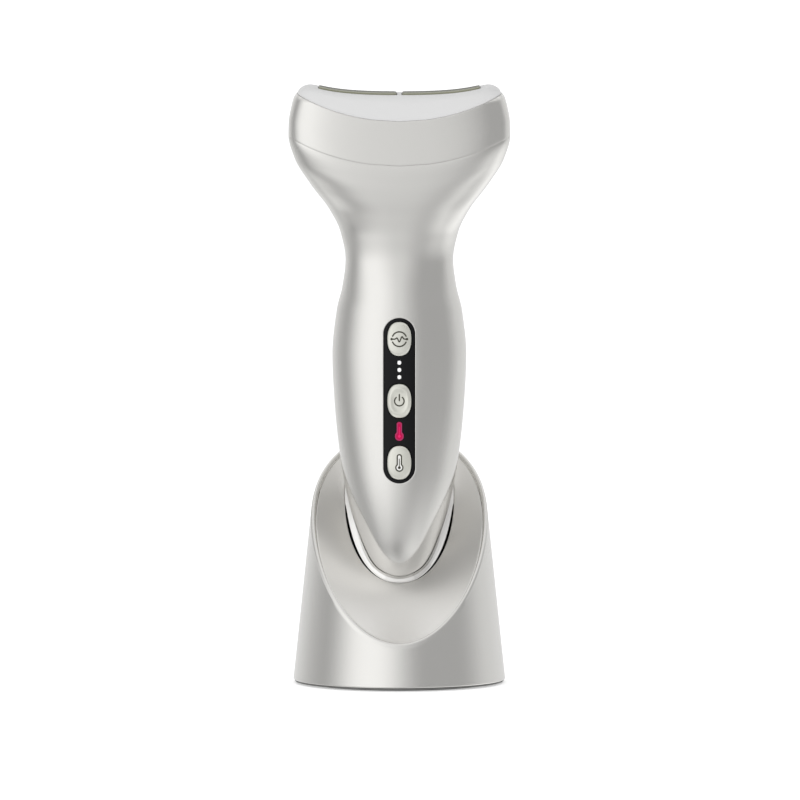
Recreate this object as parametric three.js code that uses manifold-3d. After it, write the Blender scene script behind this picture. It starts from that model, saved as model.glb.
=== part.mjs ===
// Hot and cold skincare handset, standing in its charging dock.
// Millimetres, +Z up. The front faces -Y. The origin is on the table, under the middle of the dock.

import * as THREE from 'three';
import { mergeVertices } from 'three/addons/utils/BufferGeometryUtils.js';
import Module from 'manifold-3d';

const wasm = await Module();
wasm.setup();

const TURN = 2 * Math.PI;
const { lerp, clamp } = THREE.MathUtils;

// Clearances
const SEAM_GAP = 0.3;
const FIT_GAP = 0.3;
const FINE_GAP = 0.15;

// How far a cutter runs past what it cuts
const CUT_MARGIN = 5;

// Dock: a tapered shell, cut at a slope
const DOCK_ROOM = 14.15;
const DOCK_TAPER = 0.105;
const DOCK_WALL = 2.2;
const RIM_MID_LEVEL = 63.9;
const RIM_REAR_RISE = 30.7;
const RIM_FRONT_DROP = 50.4;
const LIP_WIDTH = 2.0;
const LIP_DROP = 0.8;
const LEDGE_WIDTH = 1.5;
const LEDGE_DEPTH = 3;
const DISH_THICKNESS = 2;
const DISH_SAG = 1;

// Dock: the well in the dish, and the cup liner in the well
const WELL_HALF_WIDTH = 19.7;
const WELL_CENTRE_Y = 10;
const WELL_FRONT_REACH = 19;
const WELL_REAR_REACH = 11.5;
const WELL_SQUARENESS = 2.18;
const WELL_RISE = 31;
const WELL_REAR_DIP = 6.1;
const WELL_SKIRT = 3;
const WELL_SLIT = 0.4;
const CUP_RIM_WIDTH = 1.7;
const CUP_RIM_RISE = 0.4;
const CUP_FLOOR_LEVEL = 36.35;
const CUP_FLOOR_THICKNESS = 2.2;
const CUP_FIT = 0.6;

// Dock: underside and inside
const PAD_INSET = 4.8;
const PAD_THICKNESS = 1.4;
const PAD_STANDOUT = 0.6;
const BASE_EDGE_HEIGHT = 0.6;
const BASE_EDGE_INSET = 0.5;
const SHELL_FOOT_ROUND = 0.5;
const BASE_THICKNESS = 2.8;
const BALLAST_HEIGHT = 5;
const BALLAST_BORE_RADIUS = 13;
const BOSS_RADIUS = 3.2;
const BOSS_HEIGHT = 7.5;
const SCREW_COUNT = 3;
const SCREW_HEAD_RADIUS = 2.6;
const SCREW_HEAD_HEIGHT = 1.6;
const SCREW_SHANK_RADIUS = 1.25;
const SCREW_LENGTH = 7.2;
const BOARD_LEVEL = 12;
const BOARD_THICKNESS = 1.4;
const DOCK_BOARD_HALF_WIDTH = 11;
const DOCK_BOARD_FRONT_Y = -4;
const POST_RADIUS = 2;
const SOCKET_WIDTH = 9;
const SOCKET_HEIGHT = 3.3;
const SOCKET_DEPTH = 7.4;
const SOCKET_WALL = 0.4;
const SOCKET_RECESS = 0.6;
const TONGUE_HALF_WIDTH = 3.2;
const TONGUE_HALF_THICKNESS = 0.35;
const TONGUE_RECESS = 0.9;

// Charging contacts and sprung pins
const CONTACT_OFFSET = 2.7;
const CONTACT_RADIUS = 1.2;
const CONTACT_HEAD_RADIUS = 1.9;
const CONTACT_HEAD_HEIGHT = 0.8;
const PIN_RADIUS = 0.9;
const PIN_COLLAR_RADIUS = 1.3;
const PIN_COLLAR_HEIGHT = 1;
const PIN_TRAVEL = 0.8;
const PIN_CONTACT_GAP = 0.05;
const PIN_HOUSING_HEIGHT = 8;
const PIN_HOUSING_FLOOR = 1.8;
const PIN_LENGTH = 6;
const SPRING_WIRE_RADIUS = 0.2;
const SPRING_TURNS = 3;

// Handset body, from the tip up to the seam under the head collar
const TIP_HALF_WIDTH = 5.3;
const TIP_HALF_DEPTH = 5;
const TIP_FLOOR = 3;
const TIP_ROUNDING = 2.6;
const TIP_TO_GRIP = 82;
const GRIP_HALF_WIDTH = 24.15;
const GRIP_HALF_DEPTH = 18.8;
const GRIP_TO_WAIST = 33.6;
const WAIST_HALF_WIDTH = 19.4;
const WAIST_HALF_DEPTH = 15.2;
const WAIST_TO_HEAD = 34.9;
const HEAD_HALF_WIDTH = 39.9;
const HEAD_HALF_DEPTH = 16.6;
const BODY_WALL = 2.4;
const SEAM_RADIUS = 82;
const WARP_START = 18;

// Handset head
const COLLAR_HEIGHT = 16;
const COLLAR_TAPER = 3.1;
const COLLAR_SEAM_RADIUS = 76;
const BEZEL_HEIGHT = 9.1;
const BEZEL_STEP = 0.3;
const BEZEL_CREST_MARGIN = 1.4;
const BEZEL_SIDE_ROUND = 3.6;
const BEZEL_EDGE_ROUND = 1.4;
const BEZEL_SQUARENESS = 4;
const BEZEL_ROOF = 2.2;
const TOP_MID_RADIUS = 415;
const TOP_END_RADIUS = 40.7;
const PLATE_END_MARGIN = 3.3;
const PLATE_HALF_DEPTH = 8;
const PLATE_CORNER = 1.8;
const PLATE_SPACING = 1.6;
const PLATE_STANDOUT = 0.6;
const PLATE_THICKNESS = 3.8;
const TILE_THICKNESS = 3.4;
const TILE_LENGTH = 20;
const TILE_HALF_DEPTH = 7.2;
const TILE_CERAMIC = 0.8;
const SINK_BASE = 3;
const SINK_FIN_HEIGHT = 10;
const SINK_FIN_COUNT = 13;
const SINK_FIN_THICKNESS = 1;
const SENSOR_RADIUS = 1;
const SENSOR_HEIGHT = 1.4;

// Fan
const FAN_HALF_SIZE = 11;
const FAN_HEIGHT = 6;
const FAN_BORE_RADIUS = 10.2;
const FAN_TIP_GAP = 0.6;
const FAN_HUB_RADIUS = 4.2;
const FAN_BLADES = 7;
const FAN_BLADE_THICKNESS = 0.8;
const FAN_BLADE_REACH = 2.6;
const FAN_SPIDER_HEIGHT = 1.2;
const FAN_PIN_RADIUS = 0.9;

// Control strip and buttons
const STRIP_HALF_WIDTH = 5.55;
const STRIP_END_MARGIN = 1.25;
const STRIP_CENTRE = 66.3;
const STRIP_SINK = 0.1;
const STRIP_THICKNESS = 1;
const BUTTON_HALF_WIDTH = 4.4;
const BUTTON_HALF_HEIGHT = 6.05;
const BUTTON_SQUARENESS = 2.5;
const BUTTON_PROUD = 0.6;
const BUTTON_BACK = 4.4;
const BUTTON_TRAVEL = 0.4;
const STEM_RADIUS = 1.4;
const STEM_REACH = 0.85;
const SWITCH_HALF_SIZE = 3;
const SWITCH_HEIGHT = 3.2;
const SWITCH_BORE_DEPTH = 1.5;
const LIGHT_RADIUS = 0.78;
const LIGHT_PITCH = 2.6;
const LIGHT_MARGIN = 1.7;
const LIGHT_OFFSET = 0.28;
const GUIDE_PLATE_THICKNESS = 1;
const LENS_BULB_RADIUS = 1.55;
const LENS_STEM_HALF_WIDTH = 0.95;
const LENS_HEIGHT = 6.6;
const LENS_OFFSET = 0.13;

// Inside the handset body
const BOARD_DEPTH = 10;
const CONTROL_BOARD_THICKNESS = 1.2;
const CONTROL_BOARD_HALF_WIDTH = 11;
const CONTROL_BOARD_MARGIN = 3;
const CONTROL_CHIP_SIZE = 5;
const STANDOFF_HEIGHT = 0.8;
const STANDOFF_RADIUS = 1.8;
const STANDOFF_INSET = 4;
const STANDOFF_SIDE_INSET = 3;
const FRAME_THICKNESS = 2;
const FRAME_BOTTOM = 12;
const FRAME_TOP = 124;
const BATTERY_LENGTH = 50;
const BATTERY_BOTTOM = 42;
const BATTERY_TERMINAL = 1;
const CRADLE_RIB = 2;
const MOTOR_RADIUS = 3;
const MOTOR_LENGTH = 9;
const MOTOR_LEVEL = 22;
const MOTOR_SHAFT_RADIUS = 0.5;
const WEIGHT_RADIUS = 2.6;
const WEIGHT_LENGTH = 3;
const WEIGHT_STANDOUT = 1.2;

// Vents in the handset's rear
const INTAKE_SLOTS = 4;
const INTAKE_PITCH = 3.6;
const INTAKE_HALF_LENGTH = 7;
const OUTLET_SLOTS = 5;
const OUTLET_PITCH = 6;
const OUTLET_HALF_LENGTH = 3.6;
const SLOT_HALF_WIDTH = 0.85;

// Facets
const RING_POINTS = 32;
const CAVITY_POINTS = 16;
const DOCK_STEPS = 40;

// Levels worked out from the sizes above
const FOOT_RADIUS = GRIP_HALF_WIDTH + DOCK_ROOM;
const TIP_LEVEL = CUP_FLOOR_LEVEL + FIT_GAP;
const APEX_LEVEL = TIP_LEVEL - TIP_ROUNDING;
const GRIP_LEVEL = TIP_LEVEL + TIP_TO_GRIP;
const WAIST_LEVEL = GRIP_LEVEL + GRIP_TO_WAIST;
const HEAD_LEVEL = WAIST_LEVEL + WAIST_TO_HEAD;
const COLLAR_TOP_LEVEL = HEAD_LEVEL + COLLAR_HEIGHT;
const BEZEL_TOP_LEVEL = COLLAR_TOP_LEVEL + BEZEL_HEIGHT;
const PLATE_TOP_LEVEL = BEZEL_TOP_LEVEL + PLATE_STANDOUT;
const PLATE_BOTTOM_LEVEL = PLATE_TOP_LEVEL - PLATE_THICKNESS;
const TILE_BOTTOM_LEVEL = PLATE_BOTTOM_LEVEL - TILE_THICKNESS;
const SINK_BOTTOM_LEVEL = TILE_BOTTOM_LEVEL - SINK_BASE - SINK_FIN_HEIGHT;
const FAN_TOP_LEVEL = SINK_BOTTOM_LEVEL - FIT_GAP;
const WARP_LEVEL = GRIP_LEVEL + WARP_START;
const STRIP_LEVEL = TIP_LEVEL + STRIP_CENTRE;
const LIGHT_ROW_LENGTH = 2 * (LIGHT_PITCH + LIGHT_RADIUS);
const BUTTON_PITCH = 2 * (BUTTON_HALF_HEIGHT + LIGHT_MARGIN) + LIGHT_ROW_LENGTH;
const STRIP_LENGTH = 2 * (BUTTON_PITCH + BUTTON_HALF_HEIGHT + STRIP_END_MARGIN);
const LIGHT_CENTRE = STRIP_LEVEL + BUTTON_PITCH / 2 + LIGHT_OFFSET;
const LENS_BASE = STRIP_LEVEL - (BUTTON_PITCH + LENS_HEIGHT) / 2 + LENS_OFFSET;

// Widths and slopes worked out from the sizes above
const COLLAR_TOP_HALF_WIDTH = HEAD_HALF_WIDTH - COLLAR_TAPER;
const BEZEL_HALF_WIDTH = COLLAR_TOP_HALF_WIDTH - BEZEL_STEP;
const BEZEL_CREST = BEZEL_HALF_WIDTH - BEZEL_SIDE_ROUND - BEZEL_CREST_MARGIN;
const PLATE_LENGTH = BEZEL_HALF_WIDTH - BEZEL_SIDE_ROUND - PLATE_END_MARGIN - PLATE_SPACING / 2;
const RIM_SLOPE = (RIM_REAR_RISE + RIM_FRONT_DROP) / (2 * FOOT_RADIUS);
const RIM_BOW = (RIM_FRONT_DROP - RIM_REAR_RISE) / (2 * FOOT_RADIUS ** 2);

// Shape of the handset's outline: shares of the way along a stretch, and shares of the size at its end
const LOWER_SHAPE = [
  [0.204, 0.597, 0.69, 2.1],
  [0.488, 0.847, 0.915, 2.15],
  [0.796, 0.969, 0.99, 2.2],
];
const FALL_SHAPE = [
  [0.476, 0.67, 0.68, 2.2],
  [0.73, 0.232, 0.24, 2.22],
];
const FLARE_SHAPE = [
  [0.262, 0.09, 0, 2.4],
  [0.467, 0.299, 0.03, 2.7],
  [0.644, 0.626, 0.2, 3],
  [0.809, 0.89, 0.5, 3.2],
];
const COLLAR_SHAPE = [
  [0.3, 0.04, 1, 3.5],
  [0.58, 0.27, 1, 3.6],
  [0.88, 0.66, 1, 3.8],
];

const material = (color, roughness, metalness = 0) => ({ color, roughness, metalness });
const PAINT = material(0xd8d7d2, 0.35, 0.2);
const BEZEL_WHITE = material(0xe0e0e0, 0.5);
const GLOSS_BLACK = material(0x242528, 0.15);
const KEY_GREY = material(0xdadace, 0.45);
const PLATE_METAL = material(0x8c8c76, 0.3, 0.9);
const LIGHT_WHITE = material(0xf4f4f4, 0.3);
const LENS_RED = material(0xc8104e, 0.3);
const CERAMIC = material(0xeeeeea, 0.6);
const ALUMINIUM = material(0xb4b6b8, 0.4, 0.9);
const STEEL = material(0x9a9a9a, 0.35, 1);
const GOLD = material(0xd0a850, 0.3, 1);
const DARK_PLASTIC = material(0x2e2e30, 0.6);
const FRAME_PLASTIC = material(0xb8bac0, 0.6);
const BOARD_GREEN = material(0x1f5c3a, 0.6);
const CELL_WRAP = material(0x3c6ea0, 0.5);
const PAD_RUBBER = material(0x3a3a3a, 0.9);

const handset = new THREE.Group();
const dock = new THREE.Group();

function sag(x, radius) {
  return radius - Math.sqrt(radius * radius - x * x);
}

// The head's top is nearly flat in the middle and curls up towards its ends
function topRise(x, endRadius) {
  return x * x / (2 * TOP_MID_RADIUS) + x ** 4 / (8 * endRadius ** 3);
}

function signedPower(value, power) {
  return Math.sign(value) * Math.abs(value) ** power;
}

function smoothStep(value) {
  const t = clamp(value, 0, 1);
  return t * t * (3 - 2 * t);
}

// A smooth curve through points that never swings past them
function smoothCurve(points) {
  const last = points.length - 1;
  const rise = points.slice(1).map(([x, y], i) => (y - points[i][1]) / (x - points[i][0]));
  const tangent = points.map((point, i) => {
    if (i === 0 || i === last) return rise[Math.min(i, last - 1)];
    if (rise[i - 1] * rise[i] <= 0) return 0;
    return 2 * rise[i - 1] * rise[i] / (rise[i - 1] + rise[i]);
  });
  return (value) => {
    const x = clamp(value, points[0][0], points[last][0]);
    let i = 0;
    while (i < last - 1 && x > points[i + 1][0]) i += 1;
    const span = points[i + 1][0] - points[i][0];
    const t = (x - points[i][0]) / span;
    const start = points[i][1] * (1 + 2 * t) * (1 - t) ** 2 + tangent[i] * span * t * (1 - t) ** 2;
    const end = points[i + 1][1] * (3 - 2 * t) * t * t + tangent[i + 1] * span * (t - 1) * t * t;
    return start + end;
  };
}

// Stations of the handset: level, half width, half depth, squareness
function handsetStations() {
  const stations = [[TIP_LEVEL, TIP_HALF_WIDTH, TIP_HALF_DEPTH, 2]];
  for (const [way, width, depth, square] of LOWER_SHAPE) {
    const level = lerp(TIP_LEVEL, GRIP_LEVEL, way);
    stations.push([level, width * GRIP_HALF_WIDTH, depth * GRIP_HALF_DEPTH, square]);
  }
  const stretch = (from, to, low, high, shape) => {
    for (const [way, width, depth, square] of shape) {
      const half = [lerp(low[0], high[0], width), lerp(low[1], high[1], depth)];
      stations.push([lerp(from, to, way), half[0], half[1], square]);
    }
  };
  const grip = [GRIP_HALF_WIDTH, GRIP_HALF_DEPTH];
  const waist = [WAIST_HALF_WIDTH, WAIST_HALF_DEPTH];
  const head = [HEAD_HALF_WIDTH, HEAD_HALF_DEPTH];
  const top = [COLLAR_TOP_HALF_WIDTH, HEAD_HALF_DEPTH];
  stations.push([GRIP_LEVEL, ...grip, 2.2]);
  stretch(GRIP_LEVEL, WAIST_LEVEL, waist, grip, FALL_SHAPE);
  stations.push([WAIST_LEVEL, ...waist, 2.25]);
  stretch(WAIST_LEVEL, HEAD_LEVEL, waist, head, FLARE_SHAPE);
  stations.push([HEAD_LEVEL, ...head, 3.4]);
  stretch(HEAD_LEVEL, COLLAR_TOP_LEVEL, head, top, COLLAR_SHAPE);
  stations.push([COLLAR_TOP_LEVEL, ...top, BEZEL_SQUARENESS]);
  return stations;
}

// The tip is round, so sizes are read along the root of the height above its apex
const rootHeight = (level) => Math.sqrt(Math.max(level - APEX_LEVEL, 0));
const STATIONS = handsetStations();
const stationCurve = (column) => {
  const curve = smoothCurve(STATIONS.map((station) => [rootHeight(station[0]), station[column]]));
  return (level) => curve(rootHeight(level));
};
const halfWidthAt = stationCurve(1);
const halfDepthAt = stationCurve(2);
const squarenessAt = stationCurve(3);

// Levels above the grip bend upwards at the sides, as the seams of the head do
const warpAt = (level) => smoothStep((level - WARP_LEVEL) / (HEAD_LEVEL - WARP_LEVEL));
const seamRadiusAt = (level) => (
  lerp(SEAM_RADIUS, COLLAR_SEAM_RADIUS, clamp((level - HEAD_LEVEL) / COLLAR_HEIGHT, 0, 1))
);

function ovalPoints(halfWidth, halfDepth, squareness, count) {
  const points = [];
  for (let i = 0; i < count; i += 1) {
    const angle = TURN * i / count;
    const x = halfWidth * signedPower(Math.cos(angle), 2 / squareness);
    const y = halfDepth * signedPower(Math.sin(angle), 2 / squareness);
    points.push([x, y]);
  }
  return points;
}

function skinRing(level, inset, count) {
  const halfWidth = halfWidthAt(level) - inset;
  const halfDepth = halfDepthAt(level) - inset;
  const warp = warpAt(level);
  const radius = seamRadiusAt(level);
  return ovalPoints(halfWidth, halfDepth, squarenessAt(level), count)
    .map(([x, y]) => new THREE.Vector3(x, y, level + warp * sag(x, radius)));
}

// Depth of the front face below the plane y = 0, where the levels are still flat
function frontDepth(x, level, inset = 0) {
  const share = Math.abs(x) / (halfWidthAt(level) - inset);
  const squareness = squarenessAt(level);
  return (halfDepthAt(level) - inset) * (1 - share ** squareness) ** (1 / squareness);
}

function triangleGeometry(points, triangles) {
  const position = new Float32Array(triangles.length * 9);
  triangles.flat().forEach((index, corner) => points[index].toArray(position, corner * 3));
  const geometry = new THREE.BufferGeometry();
  geometry.setAttribute('position', new THREE.BufferAttribute(position, 3));
  return geometry;
}

// A closed solid through rings of equal count, each mirrored front to back, closed by strips
function loft(rings) {
  const count = rings[0].length;
  const points = rings.flat();
  const triangles = [];
  for (let j = 0; j < rings.length - 1; j += 1) {
    for (let i = 0; i < count; i += 1) {
      const next = (i + 1) % count;
      const [a, b] = [j * count + i, j * count + next];
      triangles.push([a, b, b + count], [a, b + count, a + count]);
    }
  }
  const top = (rings.length - 1) * count;
  for (let i = 0; i < count / 2; i += 1) {
    const mirror = (count - i) % count;
    if (i > 0) {
      triangles.push([top + mirror, top + i, top + i + 1]);
      triangles.push([mirror, i + 1, i]);
    }
    if (i < count / 2 - 1) {
      triangles.push([top + mirror, top + i + 1, top + count - i - 1]);
      triangles.push([mirror, count - i - 1, i + 1]);
    }
  }
  return triangleGeometry(points, triangles);
}

// A closed ring: one closed profile for each step around the axis
function ringSolid(profiles) {
  const steps = profiles.length;
  const count = profiles[0].length;
  const points = profiles.flat();
  const triangles = [];
  for (let m = 0; m < steps; m += 1) {
    const nextStep = ((m + 1) % steps) * count;
    for (let k = 0; k < count; k += 1) {
      const next = (k + 1) % count;
      const [a, b] = [m * count + k, nextStep + k];
      triangles.push([a, b, nextStep + next], [a, nextStep + next, m * count + next]);
    }
  }
  return triangleGeometry(points, triangles);
}

function solid(geometry) {
  const bare = geometry.index ? geometry.toNonIndexed() : geometry.clone();
  bare.deleteAttribute('normal');
  bare.deleteAttribute('uv');
  const merged = mergeVertices(bare, 1e-4);
  const kept = [];
  for (let i = 0; i < merged.index.count; i += 3) {
    const [a, b, c] = [0, 1, 2].map((corner) => merged.index.getX(i + corner));
    if (a !== b && b !== c && c !== a) kept.push(a, b, c);
  }
  const vertProperties = merged.attributes.position.array;
  return new wasm.Manifold(new wasm.Mesh({ numProp: 3, vertProperties, triVerts: new Uint32Array(kept) }));
}

function geometryOf(body) {
  const mesh = body.getMesh();
  const geometry = new THREE.BufferGeometry();
  geometry.setAttribute('position', new THREE.BufferAttribute(mesh.vertProperties, 3));
  geometry.setIndex(new THREE.BufferAttribute(mesh.triVerts, 1));
  const flat = geometry.toNonIndexed();
  flat.computeVertexNormals();
  return flat;
}

function place(group, name, body, look, position = [0, 0, 0]) {
  const mesh = new THREE.Mesh(geometryOf(body), new THREE.MeshStandardMaterial(look));
  mesh.name = name;
  mesh.position.set(...position);
  group.add(mesh);
}

const joined = (bodies) => bodies.reduce((whole, body) => whole.add(body));
const cutBy = (body, cutters) => cutters.reduce((rest, cutter) => rest.subtract(cutter), body);

function block(low, high) {
  const size = high.map((value, i) => value - low[i]);
  const middle = high.map((value, i) => (value + low[i]) / 2);
  return solid(new THREE.BoxGeometry(...size).translate(...middle));
}

// An upright disc or rod between two levels
function rod(radius, bottom, top, segments = 12) {
  const geometry = new THREE.CylinderGeometry(radius, radius, top - bottom, segments);
  return solid(geometry.rotateX(Math.PI / 2).translate(0, 0, (top + bottom) / 2));
}

// A round pin along Y between two places
function pinAlongY(radius, near, far, segments = 12) {
  const geometry = new THREE.CylinderGeometry(radius, radius, far - near, segments);
  return solid(geometry.translate(0, (near + far) / 2, 0));
}

function pinAlongX(radius, left, right, segments = 16) {
  const geometry = new THREE.CylinderGeometry(radius, radius, right - left, segments);
  return solid(geometry.rotateZ(Math.PI / 2).translate((left + right) / 2, 0, 0));
}

// A turned piece: [radius, level] points that start and end on the axis
function turned(profile, segments = 16) {
  const points = profile.map(([radius, level]) => new THREE.Vector2(radius, level));
  return solid(new THREE.LatheGeometry(points, segments).rotateX(Math.PI / 2));
}

function shapeOf(points) {
  return new THREE.Shape(points.map(([x, y]) => new THREE.Vector2(x, y)));
}

// A shape drawn in X and Z, carried along Y
function prismAlongY(shape, near, far, curveSegments = 8) {
  const options = { depth: far - near, bevelEnabled: false, curveSegments };
  const geometry = new THREE.ExtrudeGeometry(shape, options);
  return solid(geometry.rotateX(Math.PI / 2).translate(0, far, 0));
}

// A shape drawn in X and Y, carried upwards
function prismUp(shape, bottom, top, curveSegments = 6) {
  const options = { depth: top - bottom, bevelEnabled: false, curveSegments };
  const geometry = new THREE.ExtrudeGeometry(shape, options);
  return solid(geometry.translate(0, 0, bottom));
}

function roundedRectangle(left, right, low, high, corner) {
  const shape = new THREE.Shape();
  shape.moveTo(left + corner, low);
  shape.lineTo(right - corner, low);
  shape.absarc(right - corner, low + corner, corner, -Math.PI / 2, 0, false);
  shape.lineTo(right, high - corner);
  shape.absarc(right - corner, high - corner, corner, 0, Math.PI / 2, false);
  shape.lineTo(left + corner, high);
  shape.absarc(left + corner, high - corner, corner, Math.PI / 2, Math.PI, false);
  shape.lineTo(left, low + corner);
  shape.absarc(left + corner, low + corner, corner, Math.PI, Math.PI * 1.5, false);
  return shape;
}

function slotShape(halfLength, halfWidth, upright = false) {
  const [x, y] = upright ? [halfWidth, halfLength] : [halfLength, halfWidth];
  return roundedRectangle(-x, x, -y, y, halfWidth * 0.98);
}

// Levels that follow the round tip, then even steps up the grip, the waist and the flare
function bodyLevels(top) {
  const levels = [];
  const tipSteps = 7;
  const [low, high] = [rootHeight(TIP_LEVEL), rootHeight(GRIP_LEVEL)];
  for (let i = 0; i < tipSteps; i += 1) {
    levels.push(APEX_LEVEL + lerp(low, high, i / tipSteps) ** 2);
  }
  const even = (from, to, steps) => {
    for (let i = 0; i < steps; i += 1) levels.push(lerp(from, to, i / steps));
  };
  even(GRIP_LEVEL, WAIST_LEVEL, 3);
  even(WAIST_LEVEL, top, 7);
  levels.push(top);
  return levels;
}

function skinSolid(inset, top = HEAD_LEVEL - SEAM_GAP / 2) {
  return solid(loft(bodyLevels(top).map((level) => skinRing(level, inset, RING_POINTS))));
}

function cavitySolid(inset) {
  const bottom = TIP_LEVEL + TIP_FLOOR + inset - BODY_WALL;
  const top = HEAD_LEVEL + FIT_GAP;
  const levels = bodyLevels(top).filter((level, i) => i % 2 === 1 && level > bottom + 1 && level < top - 1);
  return solid(loft([bottom, ...levels, top].map((level) => skinRing(level, inset, CAVITY_POINTS))));
}

// Buttons, from the top down, by their level
const BUTTON_LEVELS = {
  mode: STRIP_LEVEL + BUTTON_PITCH,
  power: STRIP_LEVEL,
  temperature: STRIP_LEVEL - BUTTON_PITCH,
};
const LIGHT_LEVELS = [1, 0, -1].map((step) => LIGHT_CENTRE + step * LIGHT_PITCH);
const BOARD_FRONT_Y = BOARD_DEPTH - halfDepthAt(STRIP_LEVEL);
const SWITCH_FRONT_Y = BOARD_FRONT_Y - SWITCH_HEIGHT;
const BUTTON_BACK_Y = BUTTON_BACK - halfDepthAt(STRIP_LEVEL);

function buttonOutline(grow, count = 16) {
  return ovalPoints(BUTTON_HALF_WIDTH + grow, BUTTON_HALF_HEIGHT + grow, BUTTON_SQUARENESS, count);
}

// The thermometer window: a round bulb under a round-ended tube
function lensBody(grow, near, far) {
  const base = LENS_BASE;
  const bulb = pinAlongY(LENS_BULB_RADIUS + grow, near, far).translate([0, 0, base + LENS_BULB_RADIUS]);
  const half = LENS_STEM_HALF_WIDTH + grow;
  const tube = roundedRectangle(-half, half, base + LENS_BULB_RADIUS, base + LENS_HEIGHT + grow, half * 0.96);
  return bulb.add(prismAlongY(tube, near, far, 3));
}

// Everything that passes through the strip and the wall behind it
function stripOpenings(grow) {
  const far = BUTTON_BACK_Y + FIT_GAP * 3;
  const near = -GRIP_HALF_DEPTH - CUT_MARGIN;
  const openings = Object.values(BUTTON_LEVELS).map((level) => (
    prismAlongY(shapeOf(buttonOutline(grow)), near, far).translate([0, 0, level])
  ));
  for (const level of LIGHT_LEVELS) {
    openings.push(pinAlongY(LIGHT_RADIUS + FINE_GAP, near, far, 12).translate([0, 0, level]));
  }
  openings.push(lensBody(FINE_GAP, near, far));
  return openings;
}

function stripPrism(grow) {
  const half = STRIP_HALF_WIDTH + grow;
  const shape = roundedRectangle(-half, half, -STRIP_LENGTH / 2 - grow, STRIP_LENGTH / 2 + grow, half * 0.99);
  return prismAlongY(shape, -GRIP_HALF_DEPTH - CUT_MARGIN, 0, 6).translate([0, 0, STRIP_LEVEL]);
}

function tipHoles() {
  return [-1, 1].map((side) => (
    rod(CONTACT_RADIUS + FIT_GAP, TIP_LEVEL - 1, TIP_LEVEL + TIP_FLOOR + 1, 16)
      .translate([side * CONTACT_OFFSET, 0, 0])
  ));
}

function addShells() {
  const reach = HEAD_HALF_WIDTH * 2;
  const ceiling = BEZEL_TOP_LEVEL + reach;
  const whole = cutBy(skinSolid(0), [cavitySolid(BODY_WALL), ...tipHoles()]);
  const frontHalf = block([-reach, -reach, 0], [reach, -SEAM_GAP / 2, ceiling]);
  const rearHalf = block([-reach, SEAM_GAP / 2, 0], [reach, reach, ceiling]);
  const pocketFloor = skinSolid(STRIP_SINK + STRIP_THICKNESS + FINE_GAP);
  const pocket = stripPrism(FINE_GAP).subtract(pocketFloor);
  const front = cutBy(whole.intersect(frontHalf), [pocket, ...stripOpenings(FIT_GAP)]);
  place(handset, 'front_shell', front, PAINT);
  const slots = [];
  const intake = slotShape(INTAKE_HALF_LENGTH, SLOT_HALF_WIDTH);
  for (let i = 0; i < INTAKE_SLOTS; i += 1) {
    const level = WAIST_LEVEL + (i - (INTAKE_SLOTS - 1) / 2) * INTAKE_PITCH;
    slots.push(prismAlongY(intake, 0, GRIP_HALF_DEPTH + CUT_MARGIN, 1).translate([0, 0, level]));
  }
  place(handset, 'rear_shell', cutBy(whole.intersect(rearHalf), slots), PAINT);
}

function addCollar() {
  const bottom = HEAD_LEVEL + SEAM_GAP / 2;
  const top = COLLAR_TOP_LEVEL - SEAM_GAP / 2;
  const steps = 3;
  const outer = [];
  for (let i = 0; i <= steps; i += 1) {
    outer.push(skinRing(lerp(bottom, top, i / steps), 0, RING_POINTS));
  }
  const inner = [bottom - 1, HEAD_LEVEL + COLLAR_HEIGHT / 2, top + 1]
    .map((level) => skinRing(level, BODY_WALL, CAVITY_POINTS));
  const slots = [];
  const outlet = slotShape(OUTLET_HALF_LENGTH, SLOT_HALF_WIDTH, true);
  for (let i = 0; i < OUTLET_SLOTS; i += 1) {
    const x = (i - (OUTLET_SLOTS - 1) / 2) * OUTLET_PITCH;
    const level = HEAD_LEVEL + COLLAR_HEIGHT / 2 + sag(x, COLLAR_SEAM_RADIUS);
    slots.push(prismAlongY(outlet, 0, HEAD_HALF_DEPTH + CUT_MARGIN, 1).translate([x, 0, level]));
  }
  place(handset, 'head_collar', cutBy(solid(loft(outer)), [solid(loft(inner)), ...slots]), PAINT);
}

// One ring of the bezel, at a share of the turn from its upright wall to its top face
function bezelRing(share, inset, lowLevel, highLevel, count) {
  const turn = 0.97 * share * Math.PI / 2;
  const climb = Math.sin(turn) / Math.sin(0.97 * Math.PI / 2);
  const edgeTurn = 0.95 * clamp((climb - 0.72) / 0.28, 0, 1);
  const halfWidth = BEZEL_HALF_WIDTH - BEZEL_SIDE_ROUND * (1 - Math.cos(turn)) - inset;
  const edgeRoll = BEZEL_EDGE_ROUND * (1 - Math.sqrt(1 - edgeTurn ** 2));
  const halfDepth = HEAD_HALF_DEPTH - BEZEL_STEP / 2 - edgeRoll - inset;
  return ovalPoints(halfWidth, halfDepth, BEZEL_SQUARENESS, count).map(([x, y]) => {
    const low = lowLevel + sag(x, COLLAR_SEAM_RADIUS);
    const high = highLevel + topRise(Math.min(Math.abs(x), BEZEL_CREST), TOP_END_RADIUS);
    return new THREE.Vector3(x, y, lerp(low, high, climb));
  });
}

function plateShape(side, grow) {
  const near = PLATE_SPACING / 2;
  const far = near + PLATE_LENGTH;
  const [left, right] = side > 0 ? [near, far] : [-far, -near];
  const depth = PLATE_HALF_DEPTH + grow;
  return roundedRectangle(left - grow, right + grow, -depth, depth, PLATE_CORNER);
}

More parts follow.
